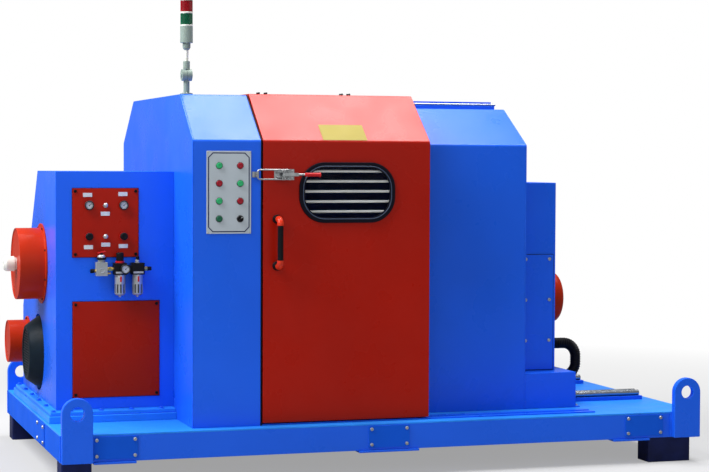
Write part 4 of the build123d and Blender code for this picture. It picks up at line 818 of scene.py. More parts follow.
@dataclass
class LeftHeadstock:
    """Left headstock with its round covers, fan cowl and front panels."""

    flange_thickness: float = 0.016
    bolt_radius: float = 0.009
    front_bolts: int = 4
    end_bolts: int = 6
    seal_width: float = 0.004
    drum_flange: float = 0.007
    drum_margin: float = 0.010
    upper_screws: int = 8
    lower_screws: int = 6
    screw_radius: float = 0.005
    panel_gasket: float = 0.004
    panel_inset: float = 0.012
    panel_screw: float = 0.0068
    cowl_skirt: float = 0.026
    cowl_end_radius: float = 0.122
    cowl_lip_radius: float = 0.105
    cowl_steps: int = 64
    shadow_back: float = 0.012
    shadow_depth: float = 0.002
    shadow_overlap: float = 0.004
    shadow_steps: int = 48
    hole_pitch: float = 0.0135
    hole_radius: float = 0.0048
    hole_depth: float = 0.004
    hole_steps: int = 12
    hole_overlap: float = 0.4
    label_size: Point = (0.039, 0.017)
    label_depth: float = 0.001
    label_places: tuple[Point, ...] = ((0.228, 0.906), (0.763, 0.918), (0.495, 0.632), (0.501, 0.180),
                                       (0.240, 0.145), (0.769, 0.157))

    def build(self) -> None:
        """Dress the headstock and add its fasteners, cowl and panel trim."""
        # The plinth and flange take the deck's lighter blue, which is painted top light.
        dress(DECK_PAINT_WITH_PAINTED_LIGHT, Edge.PLATE, "headstock_plinth", "headstock_flange")
        dress(BLUE_PAINT, Edge.CAST, "headstock_housing")
        dress(ORANGE_PAINT, Edge.THICK, "upper_drum_cover")
        dress(ORANGE_PAINT, Edge.DRUM, "lower_drum_cover")
        dress(RED_PAINT, Edge.THIN, "gauge_panel", "access_panel")
        dress(WHITE_PLASTIC, Edge.PLATE, "wire_guide_nozzle")
        self.flange_bolts()
        self.foot_seal()
        self.drum_screws()
        self.fan_cowl()
        self.panel_trim()
        self.labels()

    def flange_bolts(self) -> None:
        """Add painted bolts along the foot flange's front, rear and end."""
        flange = Box.of("headstock_flange")
        wall = Box.of("headstock_housing")
        end = (flange.low.x + wall.low.x) / 2
        margin = wall.low.x - end
        z = flange.low.z + self.flange_thickness
        row = list(between(wall.low.x + margin * 4, flange.high.x - margin * 4, self.front_bolts))
        sides = ((flange.low.y + wall.low.y) / 2, (flange.high.y + wall.high.y) / 2)
        ends = between(flange.low.y + margin, flange.high.y - margin, self.end_bolts)
        places = [Vector((x, y, z)) for y in sides for x in row] + [Vector((end, y, z)) for y in ends]
        bolts = Shape().fasteners(Head.HEXAGON, self.bolt_radius, *places, facing=Facing.UP)
        bolts.piece("flange_bolts", BLUE_PAINT)

    def foot_seal(self) -> None:
        """Add the painted bead of the joint between the flange and its plinth."""
        low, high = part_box("headstock_flange")
        w = self.seal_width
        top = low.z + w
        seal = Shape()
        seal.block((low.x - w, low.y - w, low.z), (high.x, low.y, top))
        seal.block((low.x - w, high.y, low.z), (high.x, high.y + w, top))
        seal.block((low.x - w, low.y, low.z), (low.x, high.y, top))
        seal.piece("foot_seal", BLUE_PAINT, edge=Edge.THIN)

    def drum_screws(self) -> None:
        """Add screws round the wall flange of both round covers."""
        screws = Shape()
        covers = {"upper_drum_cover": self.upper_screws, "lower_drum_cover": self.lower_screws}
        for node, count in covers.items():
            box = Box.of(node)
            round_places = around(count, box.size.y / 2 - self.drum_margin, math.pi / count)
            places = [box.seat(Facing.LEFT) + Vector((-self.drum_flange, y, z)) for y, z in round_places]
            screws.fasteners(Head.SOCKET, self.screw_radius, *places, facing=Facing.LEFT)
        screws.piece("drum_screws", BLACK_PLASTIC)

    def fan_cowl(self) -> None:
        """Add the cowl's turned skirt and the perforated plate in its end."""
        box = Box.of("motor_fan_cowl")
        place = box.seat(Facing.LEFT)
        base = box.size.y / 2
        end = box.size.x
        skirt, rim, lip = self.cowl_skirt, self.cowl_end_radius, self.cowl_lip_radius
        profile = [(0, base), (skirt - 0.003, base), (skirt, base - 0.002), (end - 0.005, rim + 0.003),
                   (end - 0.001, rim - 0.001), (end, rim - 0.004), (end, lip + 0.002), (end - 0.002, lip),
                   (end - 0.007, lip), (0.004, lip), (0, lip)]
        cowl = Shape().lathe(profile, place, facing=Facing.LEFT, steps=self.cowl_steps)
        cowl.piece("fan_cowl", COWL_PLASTIC, replaces=("motor_fan_cowl",))
        self.perforations(place - Vector((end - self.hole_depth * 2, 0, 0)))
        radius = lip + self.shadow_overlap
        profile = [(0, radius), (self.shadow_depth, radius), (self.shadow_depth, 0)]
        back = place - Vector((self.shadow_back, 0, 0))
        shadow = Shape().lathe(profile, back, facing=Facing.LEFT, steps=self.shadow_steps)
        shadow.piece("cowl_shadow_plate", BLACK_RUBBER)

    def perforations(self, place: Vector) -> None:
        """Add the perforated plate as a tiling of hexagons, each with a round hole.

        Args:
            place: Centre of the plate's back.
        """
        plate = Shape()
        corner = self.hole_pitch / math.sqrt(3)
        row_height = corner * 1.5
        rows = int(self.cowl_lip_radius / row_height) + 1
        top, hole = self.hole_depth, self.hole_radius
        profile = ((top, corner, HEX), (top, hole), (0, hole))
        for row in range(-rows, rows + 1):
            for column in range(-rows, rows + 1):
                across = (column + 0.5 * (row % 2)) * self.hole_pitch
                up = row * row_height
                if math.hypot(across, up) <= self.cowl_lip_radius + corner * self.hole_overlap:
                    centre = Facing.LEFT.at(place) @ Vector((across, up, 0))
                    turn = Facing.LEFT.at(centre) @ Matrix.Rotation(math.pi / HEX, 4, "Z")
                    rings = [[turn @ point for point in circle(step, self.hole_steps)] for step in profile]
                    plate.loft(rings, capped=False)
        plate.piece("cowl_perforated_plate", COWL_PLASTIC)

    def panel_trim(self) -> None:
        """Add the dark gasket round both front panels and the screws in their corners."""
        gaskets = Shape()
        screws = Shape()
        for box in (Box.of("gauge_panel"), Box.of("access_panel")):
            gasket(gaskets, box, self.panel_gasket)
            screws.fasteners(Head.SOCKET, self.panel_screw, *box.corners(self.panel_inset))
        gaskets.piece("panel_gaskets", BLACK_RUBBER)
        screws.piece("panel_screws", BLACK_PLASTIC)

    def labels(self) -> None:
        """Add the blank label plates of the gauge panel."""
        box = Box.of("gauge_panel")
        outline = rectangle(*self.label_size, self.label_depth)
        plates = Shape()
        for across, up in self.label_places:
            centre = box.low + Vector((across * box.size.x, 0, up * box.size.z))
            plates.prism(outline, self.label_depth, centre)
        plates.piece("blank_labels", LABEL_WHITE)


@dataclass
class GaugePanel:
    """Gauges and knobs of the front panel, and the air set's own gauge."""

    bezel: float = 0.0045
    dial_depth: float = 0.0006
    tick_count: int = 21
    long_tick: int = 5
    sweep: float = math.radians(270)
    first_tick: float = math.radians(225)
    needle_angle: float = math.radians(38)
    knob_neck: float = 0.007
    knob_flutes: int = -14
    knob_steps: int = 84

    def build(self) -> None:
        """Build every gauge and knob."""
        cases, dials, marks = Shape(), Shape(), Shape()
        for box in islands("pressure_gauges"):
            self.gauge(cases, dials, marks, box)
        cases.piece("gauge_cases", GAUGE_METAL, replaces=("pressure_gauges",))
        dials.piece("gauge_dials", DIAL_WHITE)
        marks.piece("gauge_marks", BLACK_PLASTIC)
        self.knobs()

    def gauge(self, cases: Shape, dials: Shape, marks: Shape, box: Box) -> None:
        """Add one gauge to the shared meshes.

        Args:
            cases: Mesh of the cases.
            dials: Mesh of the dials.
            marks: Mesh of the ticks and needles.
            box: Box of the gauge's solid.
        """
        r = box.radius
        depth = box.size.y
        inner = r - self.bezel
        floor = depth - self.bezel
        dial = floor + self.dial_depth
        cases.lathe([(0, r * 0.92), (depth * 0.7, r * 0.92), (depth * 0.72, r), (depth - 0.001, r),
                     (depth, r - 0.001), (depth, inner + 0.0005), (floor, inner), (floor, 0)],
                    box.seat(), steps=FINE_STEPS)
        dials.lathe([(floor, inner * 0.98), (dial, inner * 0.98), (dial, 0)], box.seat(), steps=FINE_STEPS)
        face = box.seat() - Vector((0, dial, 0))
        bars = []
        for number in range(self.tick_count):
            angle = self.first_tick - self.sweep * number / (self.tick_count - 1)
            start, half = (0.8, 0.0004) if number % self.long_tick else (0.68, 0.0006)
            bars.append((angle, inner * start, inner * 0.92, half))
        bars.append((self.needle_angle, -inner * 0.2, inner * 0.8, 0.0008))
        for angle, start, end, half in bars:
            outline = [(start, half), (start, -half), (end, -half), (end, half)]
            marks.prism(turned(outline, angle), self.dial_depth, face)
        marks.lathe([(0, inner * 0.12), (0.0014, inner * 0.1), (0.0014, 0)], face, steps=16)

    def knobs(self) -> None:
        """Build the fluted pressure knobs on their lock rings and the small pale ones between them."""
        dark, pale, rings = Shape(), Shape(), Shape()
        boxes = islands("panel_knobs")
        widest = max(box.radius for box in boxes)
        neck, flutes = self.knob_neck, self.knob_flutes
        for box in boxes:
            r = box.radius
            depth = box.size.y
            if r > widest * 0.8:
                dark.lathe([(0, 0.62 * r), (neck, 0.62 * r), (neck, 0.96 * r, flutes),
                            (depth - 0.003, r, flutes), (depth - 0.001, 0.9 * r, flutes), (depth, 0.8 * r),
                            (depth, 0.45 * r), (depth - 0.0015, 0.4 * r), (depth - 0.0015, 0)],
                           box.seat(), steps=self.knob_steps)
                rings.lathe([(0.002, 0.7 * r), (0.002, 1.06 * r), (neck - 0.0005, 1.06 * r),
                             (neck - 0.0005, 0.7 * r)], box.seat())
            else:
                pale.lathe([(0, 1.25 * r, HEX), (0.003, 1.25 * r, HEX), (0.003, 0.6 * r), (0.006, 0.6 * r),
                            (0.006, r), (depth - 0.003, r), (depth - 0.001, 0.8 * r), (depth, 0.5 * r),
                            (depth, 0)], box.seat(), steps=SMALL_STEPS)
        dark.piece("pressure_knobs", BLACK_PLASTIC, replaces=("panel_knobs",))
        pale.piece("pilot_knobs", BOLT_STEEL)
        rings.piece("lock_rings", RED_PLASTIC)


@dataclass
class AirSet:
    """Shut-off valve, filter regulator and lubricator under the gauge panel."""

    valve_size: tuple[float, float, float] = (0.047, 0.040, 0.058)
    port_drop: float = 0.006
    port: Profile = ((0, 0.012), (0.0012, 0.012), (0.0012, 0.009, HEX), (0.0002, 0.009, HEX), (0.0002, 0))
    neck: Profile = ((0, 0.0155), (0.010, 0.0155), (0.011, 0.0145), (0.011, 0))
    collar: Profile = ((0.011, 0.013), (0.011, 0.0195), (0.012, 0.0205), (0.019, 0.0205), (0.020, 0.0195),
                       (0.020, 0.013))
    dome: Profile = ((0.020, 0.0165), (0.026, 0.0165), (0.030, 0.0140), (0.032, 0.0095), (0.0325, 0))
    stem: Profile = ((0.032, 0.006), (0.041, 0.006), (0.041, 0))
    lever_seat: tuple[float, float, float] = (0, 0.006, 0.040)
    lever_depth: float = 0.012
    lever: tuple[Point, ...] = ((-0.017, -0.001), (-0.014, -0.003), (0.016, 0.003), (0.019, 0.006),
                                (0.016, 0.008), (-0.015, 0.002))
    head_height: float = 0.050
    nipple_length: float = 0.028
    fitting_length: float = 0.032
    plug_drop: float = 0.019
    inlet_drop: float = 0.008
    knob: Profile = ((0.0095, 0.0155, -20), (0.040, 0.0165, -20), (0.043, 0.0150), (0.0448, 0.0125),
                     (0.0448, 0))
    knob_steps: int = 80
    lock_ring: Profile = ((0.0005, 0.0190), (0.009, 0.0190), (0.009, 0.0095), (0.0005, 0.0095))
    sight: Profile = ((0, 0.0105, HEX), (0.004, 0.0105, HEX), (0.004, 0.0095), (0.012, 0.0095),
                      (0.0155, 0.0070), (0.017, 0.0035), (0.017, 0))
    sight_cap: Profile = ((0.016, 0.006), (0.018, 0.0075), (0.026, 0.0075), (0.028, 0.0055), (0.028, 0))
    drain_length: float = 0.009
    guard_wall: float = 0.002
    slot_top: float = 0.46
    slot_foot: float = 0.89
    slot_count: int = 10
    post_share: float = 0.48
    liner_gap: float = 0.001
    liner_start: float = 0.002
    mark_half: float = 0.004
    mark_top: float = 0.007
    mark_foot: float = 0.030
    mark_depths: Point = (0.0008, 0.002)
    band_half: float = 0.0215
    band_low: float = 0.006
    band_high: float = 0.014
    band_depth: float = 0.001
    boxes: list[Box] = field(init=False)
    line: Vector = field(init=False)

    def __post_init__(self) -> None:
        """Find the bowls and the middle line of the valve, heads and fittings."""
        self.boxes = islands("air_bowls")
        self.line = Vector((0, self.boxes[0].middle.y, self.boxes[0].high.z + self.head_height / 2))

    def build(self) -> None:
        """Dress the heads and build the valve, fittings, knobs and bowls."""
        dress(BLACK_PLASTIC, Edge.THICK, "air_service_unit")
        self.valve()
        self.fittings()
        self.head_tops()
        self.bowls()

    def valve(self) -> None:
        """Build the valve block, its stem and its red lever."""
        width, depth, height = self.valve_size
        left = Vector((Box.of("shutoff_valve").low.x, self.line.y, self.line.z))
        half = Vector((0, depth, height)) / 2
        port = left + Vector((width / 2, -depth / 2, -self.port_drop))
        top = left + Vector((width / 2, 0, height / 2))
        body = Shape().block(left - half, left + half + Vector((width, 0, 0)))
        body.lathe(self.port, port, steps=SMALL_STEPS).lathe(self.neck, top, facing=Facing.UP)
        body.piece("valve_body", VALVE_METAL, edge=Edge.PLATE, replaces=("shutoff_valve",))
        collar = Shape().lathe(self.collar, top, facing=Facing.UP).lathe(self.stem, top, facing=Facing.UP)
        collar.piece("valve_collar", BLACK_PLASTIC)
        Shape().lathe(self.dome, top, facing=Facing.UP).piece("valve_dome", BOWL_METAL)
        lever = Shape().prism(self.lever, self.lever_depth, top + Vector(self.lever_seat))
        lever.piece("valve_lever", RED_PLASTIC, edge=Edge.SHEET)

    def fittings(self) -> None:
        """Build the brass nipples and the black push-in ends."""
        left = self.line + Vector((Box.of("shutoff_valve").low.x, 0, 0))
        right = left + Vector((self.valve_size[0], 0, 0))
        n = self.nipple_length
        f = self.fitting_length
        outlet = self.line + Vector((Box.of("air_fittings").high.x - f, 0, 0))
        plug = right - Vector((0, 0, self.plug_drop))
        inlet = left - Vector((0, 0, self.inlet_drop))
        brass = Shape()
        brass.lathe([(0, 0.0075), (0.25 * n, 0.0075), (0.27 * n, 0.0105, HEX), (0.7 * n, 0.0105, HEX),
                     (0.72 * n, 0.0078), (n, 0.0078)], right, facing=Facing.RIGHT, steps=SMALL_STEPS)
        brass.lathe([(0, 0.008), (0.1 * f, 0.008), (0.12 * f, 0.0105, HEX), (0.42 * f, 0.0105, HEX),
                     (0.44 * f, 0.006), (0.5 * f, 0.006)], outlet, facing=Facing.RIGHT, steps=SMALL_STEPS)
        brass.lathe([(0, 0.0045), (0.5 * f, 0.0045), (0.5 * f, 0)], plug, facing=Facing.RIGHT,
                    steps=SMALL_STEPS)
        brass.lathe([(0, 0.008), (0.2 * f, 0.008), (0.2 * f, 0.006), (0.45 * f, 0.006)], inlet,
                    facing=Facing.LEFT, steps=SMALL_STEPS)
        brass.piece("brass_nipples", BRASS, replaces=("air_fittings",))
        push = [(0, 0.006), (0, 0.009), (0.42 * f, 0.009), (0.44 * f, 0.0065), (0.5 * f, 0.0085),
                (0.56 * f, 0.0085), (0.56 * f, 0.004), (0.44 * f, 0.004)]
        ends = Shape().lathe(push, outlet + Vector((0.44 * f, 0, 0)), facing=Facing.RIGHT, steps=SMALL_STEPS)
        ends.lathe(push, inlet - Vector((0.2 * f, 0, 0)), facing=Facing.LEFT, steps=SMALL_STEPS)
        ends.piece("push_fittings", BLACK_PLASTIC)

    def head_tops(self) -> None:
        """Build the regulator's fluted knob and red lock ring, and the oiler's sight dome and cap."""
        regulator, oiler = [Vector((box.middle.x, self.line.y, self.line.z + self.head_height / 2))
                            for box in self.boxes]
        for name, finish, profile, place, steps in (
                ("regulator_knob", BLACK_PLASTIC, self.knob, regulator, self.knob_steps),
                ("regulator_ring", RED_PLASTIC, self.lock_ring, regulator, ROUND_STEPS),
                ("sight_dome", BOWL_METAL, self.sight, oiler, SMALL_STEPS),
                ("sight_cap", BLACK_PLASTIC, self.sight_cap, oiler, SMALL_STEPS)):
            Shape().lathe(profile, place, facing=Facing.UP, steps=steps).piece(name, finish)

    def bowls(self) -> None:
        """Build the slotted bowl guards with their drains, the bowls inside them and the marks on them."""
        guards, liners, marks, bands = Shape(), Shape(), Shape(), Shape()
        face = Box.of("air_service_unit").low.y
        for box in self.boxes:
            r = box.radius
            place = box.seat(Facing.DOWN)
            self.guard(guards, place, r, box.size.z - self.drain_length)
            lined = r - self.guard_wall - self.liner_gap
            foot = (box.size.z - self.drain_length) * self.slot_foot + self.liner_start
            liners.lathe([(self.liner_start, lined), (foot, lined), (foot, 0)], place, facing=Facing.DOWN)
            proud, sunk = self.mark_depths
            marks.block(place - Vector((self.mark_half, r + proud, self.mark_foot)),
                        place + Vector((self.mark_half, sunk - r, -self.mark_top)))
            bands.block((place.x - self.band_half, face - self.band_depth, place.z + self.band_low),
                        (place.x + self.band_half, face + self.band_depth, place.z + self.band_high))
        guards.piece("bowl_guards", BOWL_METAL, replaces=("air_bowls",))
        liners.piece("bowl_liners", BOWL_LINER)
        marks.piece("bowl_marks", RED_PLASTIC, edge=Edge.CRISP)
        bands.piece("head_bands", BOWL_METAL, edge=Edge.CRISP)

    def guard(self, guards: Shape, place: Vector, r: float, length: float) -> None:
        """Add one bowl's guard: a top band, a foot with its drain, and posts between them.

        Args:
            guards: Mesh of the guards.
            place: Top centre of the bowl.
            r: Outer radius of the guard.
            length: Length of the guard without its drain.
        """
        top = length * self.slot_top
        foot = length * self.slot_foot
        inner = r - self.guard_wall
        end = length + self.drain_length
        guards.lathe([(0, inner), (0, r), (0.004, r), (0.005, r - 0.0008), (0.007, r), (top, r),
                      (top, inner)], place, facing=Facing.DOWN)
        guards.lathe([(foot, inner), (foot, r), (length * 0.92, r), (length * 0.97, r * 0.86),
                      (length, r * 0.6), (length, 0)], place, facing=Facing.DOWN)
        half = math.pi / self.slot_count * self.post_share
        for number in range(self.slot_count):
            angle = 2 * math.pi * number / self.slot_count
            outline = [(reach * math.cos(angle + turn), reach * math.sin(angle + turn)) for reach, turn in
                       ((r, -half), (r, 0), (r, half), (inner, half), (inner, -half))]
            guards.prism(outline, foot - top, place - Vector((0, 0, top)), Facing.DOWN)
        guards.lathe([(length, 0.0055, HEX), (end - 0.003, 0.0055, HEX), (end, 0.003), (end, 0)], place,
                     facing=Facing.DOWN, steps=SMALL_STEPS)


@dataclass
class Hood:
    """Fixed sheet hood, its seal and the door's rails."""

    def build(self) -> None:
        """Dress the hood and its rails."""
        dress(BLUE_PAINT, Edge.SHEET, "hood_left_shell", "hood_right_shell", "hood_end_walls",
              "hood_rear_panel")
        dress(BLUE_PAINT, Edge.THIN, "rail_beams", "floor_guide")
        dress(BLACK_RUBBER, Edge.BARE, "door_seal")
        dress(RAIL_STEEL, Edge.BARE, "door_rail")


@dataclass
class ButtonStation:
    """Control plate with its border and push buttons."""

    border_inset: float = 0.0065
    border_width: float = 0.0042
    border_cut: float = 0.020
    ink_height: float = 0.0004
    rivet: Profile = ((0, 0.0035), (0.0008, 0.00315), (0.0015, 0.00175), (0.0016, 0))
    rivet_inset: float = 0.0055
    bezel_height: float = 0.003
    button_height: float = 0.010
    selector_lean: float = math.radians(-35)
    pointer_half: float = 0.0012
    pointer_start: float = 0.003

    def build(self) -> None:
        """Dress the plate and add its border, rivets and buttons."""
        dress(PLATE_METAL, Edge.STAMPED, "control_plate")
        self.border()
        self.buttons()

    def border(self) -> None:
        """Add the printed border line with cut corners and the plate's rivets."""
        box = Box.of("control_plate")
        width = box.size.x - 2 * self.border_inset
        height = box.size.z - 2 * self.border_inset
        thin = self.border_width * 2
        line = Shape().hoop(rectangle(width, height, self.border_cut),
                            rectangle(width - thin, height - thin, self.border_cut - thin * 0.29),
                            self.ink_height, Vector((box.middle.x, box.low.y, box.middle.z)))
        line.piece("plate_border", PLATE_INK)
        rivets = Shape().lathe(self.rivet, *box.corners(self.rivet_inset), steps=TINY_STEPS)
        rivets.piece("plate_rivets", BOLT_STEEL)

    def buttons(self) -> None:
        """Build the bezels and coloured caps, with the selector in the last place."""
        boxes = islands("push_buttons")
        middle = sum(box.low.x for box in boxes) / len(boxes)
        ordered = sorted(boxes, key=lambda box: (box.low.x >= middle, -box.low.z))
        finishes = (BUTTON_GREEN, BUTTON_RED, BUTTON_GREEN, BUTTON_DARK,
                    BUTTON_RED, BUTTON_GREEN, BUTTON_RED)
        b, h = self.bezel_height, self.button_height
        bezels = Shape()
        for box in ordered:
            r = box.radius
            bezels.lathe([(0, r), (b - 0.001, r), (b, r - 0.001), (b, r * 0.88), (b - 0.001, r * 0.86),
                          (0.001, r * 0.86)], box.seat(), steps=FINE_STEPS)
        caps = {finish: Shape() for finish in (BUTTON_GREEN, BUTTON_RED, BUTTON_DARK)}
        for box, finish in zip(ordered, finishes):
            r = box.radius
            caps[finish].lathe([(0.001, r * 0.84), (h - 0.003, r * 0.84), (h - 0.001, r * 0.76),
                                (h, r * 0.6), (h - 0.0008, r * 0.3), (h - 0.001, 0)],
                               box.seat(), steps=FINE_STEPS)
        self.selector(ordered[-1])
        bezels.piece("button_bezels", BEZEL_METAL, replaces=("push_buttons",))
        for finish, shape in caps.items():
            shape.piece(finish.name + "_caps", finish)

    def selector(self, box: Box) -> None:
        """Build the turn switch and its pale pointer.

        Args:
            box: Box of its solid.
        """
        r = box.radius
        h = self.button_height
        depth = box.size.y
        grip = turned(rectangle(r * 0.42, r * 1.3, r * 0.12), self.selector_lean)
        knob = Shape().lathe([(0.001, r * 0.78), (h - 0.002, r * 0.76), (h, r * 0.66), (h, 0)], box.seat(),
                             steps=FINE_STEPS)
        knob.prism(grip, depth - h, box.seat() - Vector((0, h, 0)))
        knob.piece("selector_knob", BLACK_PLASTIC, edge=Edge.FINE)
        half, start, end = self.pointer_half, self.pointer_start, r * 0.6
        tip = turned([(-half, start), (half, start), (half, end), (-half, end)], self.selector_lean)
        pointer = Shape().prism(tip, self.ink_height, box.seat() - Vector((0, depth, 0)))
        pointer.piece("selector_pointer", LABEL_WHITE)


@dataclass
class SlidingDoor:
    """Sliding door with its window, handle and carriages."""

    gasket_inset: float = 0.017
    gasket_corner: float = 0.112
    strip_radius: float = 0.0022
    strip_steps: int = 10
    corner_steps: int = 13
    bolt_radius: float = 0.007
    stud_height: float = 0.0165
    bolt_spread: Point = (0.034, 0.030)
    foot_radius: float = 0.0195
    foot_height: float = 0.027
    plate_size: Point = (0.196, 0.104)
    plate_cut: float = 0.003
    plate_faces: Point = (-0.0004, 0.0012)
    plate_centre_x: float = -0.150
    plate_rise: float = 0.0065
    slope_run: float = 0.250
    slope_rise: float = 0.204

    def build(self) -> None:
        """Dress the door and add its trim."""
        dress(RED_PAINT, Edge.SHEET, "door_shell")
        dress(BLACK_RUBBER, Edge.BARE, "window_gasket")
        dress(GLASS, Edge.BARE, "window_glass")
        dress(GUARD_PAINT, Edge.BARE, "window_guard")
        dress(BLACK_PLASTIC, Edge.THIN, "handle_bar")
        dress(ORANGE_PLASTIC, Edge.BARE, "handle_ends")
        dress(LATCH_STEEL, Edge.THIN, "door_carriages")
        self.filler_strip()
        self.carriage_bolts()
        self.handle_feet()
        self.blank_plate()

    def filler_strip(self) -> None:
        """Add the locking strip that runs round in the window's rubber."""
        low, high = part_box("window_gasket")
        corner = self.gasket_corner - self.gasket_inset
        y = low.y + self.strip_radius * 0.25
        left, right = low.x + self.gasket_corner, high.x - self.gasket_corner
        foot, top = low.z + self.gasket_corner, high.z - self.gasket_corner
        path = []
        for quarter, (x, z) in enumerate(((right, top), (left, top), (left, foot), (right, foot))):
            for turn in between(quarter, quarter + 1, self.corner_steps):
                angle = math.pi / 2 * turn
                path.append(Vector((x + corner * math.cos(angle), y, z + corner * math.sin(angle))))
        strip = Shape().tube(path, [self.strip_radius] * len(path), self.strip_steps, closed=True)
        strip.piece("window_filler_strip", SEAL_LIP, Body.DOOR)

    def carriage_bolts(self) -> None:
        """Add the dark bolts that hold the carriages under the door's top."""
        top = Box.of("door_shell").high.z
        width, depth = self.bolt_spread
        h = self.stud_height
        shank = self.bolt_radius * 0.62
        stud = [(0.004, shank), (h - 0.001, shank), (h, self.bolt_radius * 0.5), (h, 0)]
        places = [Vector((box.middle.x + across, box.middle.y + deep, top))
                  for box in islands("door_carriages")
                  for across in (-width / 2, width / 2) for deep in (-depth / 2, depth / 2)]
        bolts = Shape().fasteners(Head.HEXAGON, self.bolt_radius, *places, facing=Facing.UP)
        bolts.lathe(stud, *places, facing=Facing.UP, steps=TINY_STEPS)
        bolts.piece("carriage_bolts", BLACK_PLASTIC, Body.DOOR)

    def handle_feet(self) -> None:
        """Add the black sockets where the handle's ends meet the door."""
        feet = Shape()
        r = self.foot_radius
        h = self.foot_height
        middle = Box.of("handle_bar").middle.z
        for box in islands("handle_ends"):
            z = box.high.z - r if box.low.z > middle else box.low.z + r
            feet.lathe([(0, r), (0.0065, r), (0.009, r - 0.002), (h - 0.002, 0.0158), (h, 0.0148),
                        (h, 0.0141), (0, 0.0141)], Vector((box.middle.x, box.high.y, z)), steps=FINE_STEPS)
        feet.piece("handle_feet", BLACK_PLASTIC, Body.DOOR)

    def blank_plate(self) -> None:
        """Add the bare yellow plate on the door's slope."""
        door = Box.of("door_shell")
        slope = Vector((0, self.slope_run, self.slope_rise)).normalized()
        out = Vector((0, -slope.z, slope.y))
        bend = Vector((self.plate_centre_x, door.low.y, door.high.z - self.slope_rise))
        centre = bend + slope * (self.plate_rise + self.plate_size[1] / 2)
        outline = rectangle(*self.plate_size, self.plate_cut)
        plate = Shape().loft([[centre + Vector((x, 0, 0)) + slope * y + out * lift for x, y in outline]
                              for lift in self.plate_faces])
        plate.piece("blank_yellow_plate", PLATE_YELLOW, Body.DOOR)


@dataclass
class ToggleLatch:
    """Toggle latch on the door and its keeper on the hood."""

    plate: float = 0.004
    rivet: Profile = ((0, 0.0038), (0.0012, 0.00323), (0.002, 0.00152), (0.002, 0))
    rivet_inset: float = 0.0075
    screw_radius: float = 0.0038
    screw_inset: float = 0.0105
    arm_inset: float = 0.0065
    nut: Profile = ((0, 0.00675), (0.0008, 0.0075, HEX), (0.0052, 0.0075, HEX), (0.006, 0.00675))
    nut_places: tuple[float, ...] = (0.026, 0.036)
    pin_head: Profile = ((0, 0.0055), (0.001, 0.0055), (0.002, 0.0033), (0.002, 0))
    cheek: float = 0.012

    def build(self) -> None:
        """Dress the latch and add its rivets, nuts and pin heads."""
        dress(LATCH_STEEL, Edge.STAMPED, "latch_base")
        dress(LATCH_STEEL, Edge.FINE, "latch_lever")
        dress(LATCH_STEEL, Edge.BARE, "latch_bail")
        dress(LATCH_STEEL, Edge.FINE, "latch_keeper")
        dress(RED_PLASTIC, Edge.BARE, "latch_grip")
        self.rivets()
        self.bail_nuts()
        self.pin_heads()

    def rivets(self) -> None:
        """Add the rivets of the base plate and the screws of the keeper."""
        low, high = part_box("latch_base")
        plate = Box(Vector((low.x, high.y - self.plate, low.z)), high)
        rivets = Shape().lathe(self.rivet, *plate.corners(self.rivet_inset), steps=TINY_STEPS)
        rivets.piece("latch_rivets", BOLT_STEEL, Body.DOOR)
        low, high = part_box("latch_keeper")
        places = [Vector((high.x - self.screw_inset, high.y - self.plate, z))
                  for z in (low.z + self.rivet_inset, high.z - self.rivet_inset)]
        Shape().fasteners(Head.SOCKET, self.screw_radius, *places).piece("keeper_screws", BOLT_STEEL)

    def bail_nuts(self) -> None:
        """Add the adjusting nuts on both arms of the bail."""
        bail = Box.of("latch_bail")
        arms = (bail.low.z + self.arm_inset, bail.high.z - self.arm_inset)
        places = [Vector((bail.high.x - back, bail.middle.y, z)) for z in arms for back in self.nut_places]
        nuts = Shape().lathe(self.nut, *places, facing=Facing.LEFT, steps=SMALL_STEPS)
        nuts.piece("bail_nuts", BOLT_STEEL, Body.LATCH_BAIL)

    def pin_heads(self) -> None:
        """Add the heads of the lever's pin outside the base's cheeks."""
        heads = Shape()
        for facing in (Facing.UP, Facing.DOWN):
            place = facing.at(pivot("latch_turn")) @ Vector((0, 0, self.cheek))
            heads.lathe(self.pin_head, place, facing=facing, steps=TINY_STEPS)
        heads.piece("latch_pin_heads", BOLT_STEEL, Body.DOOR)


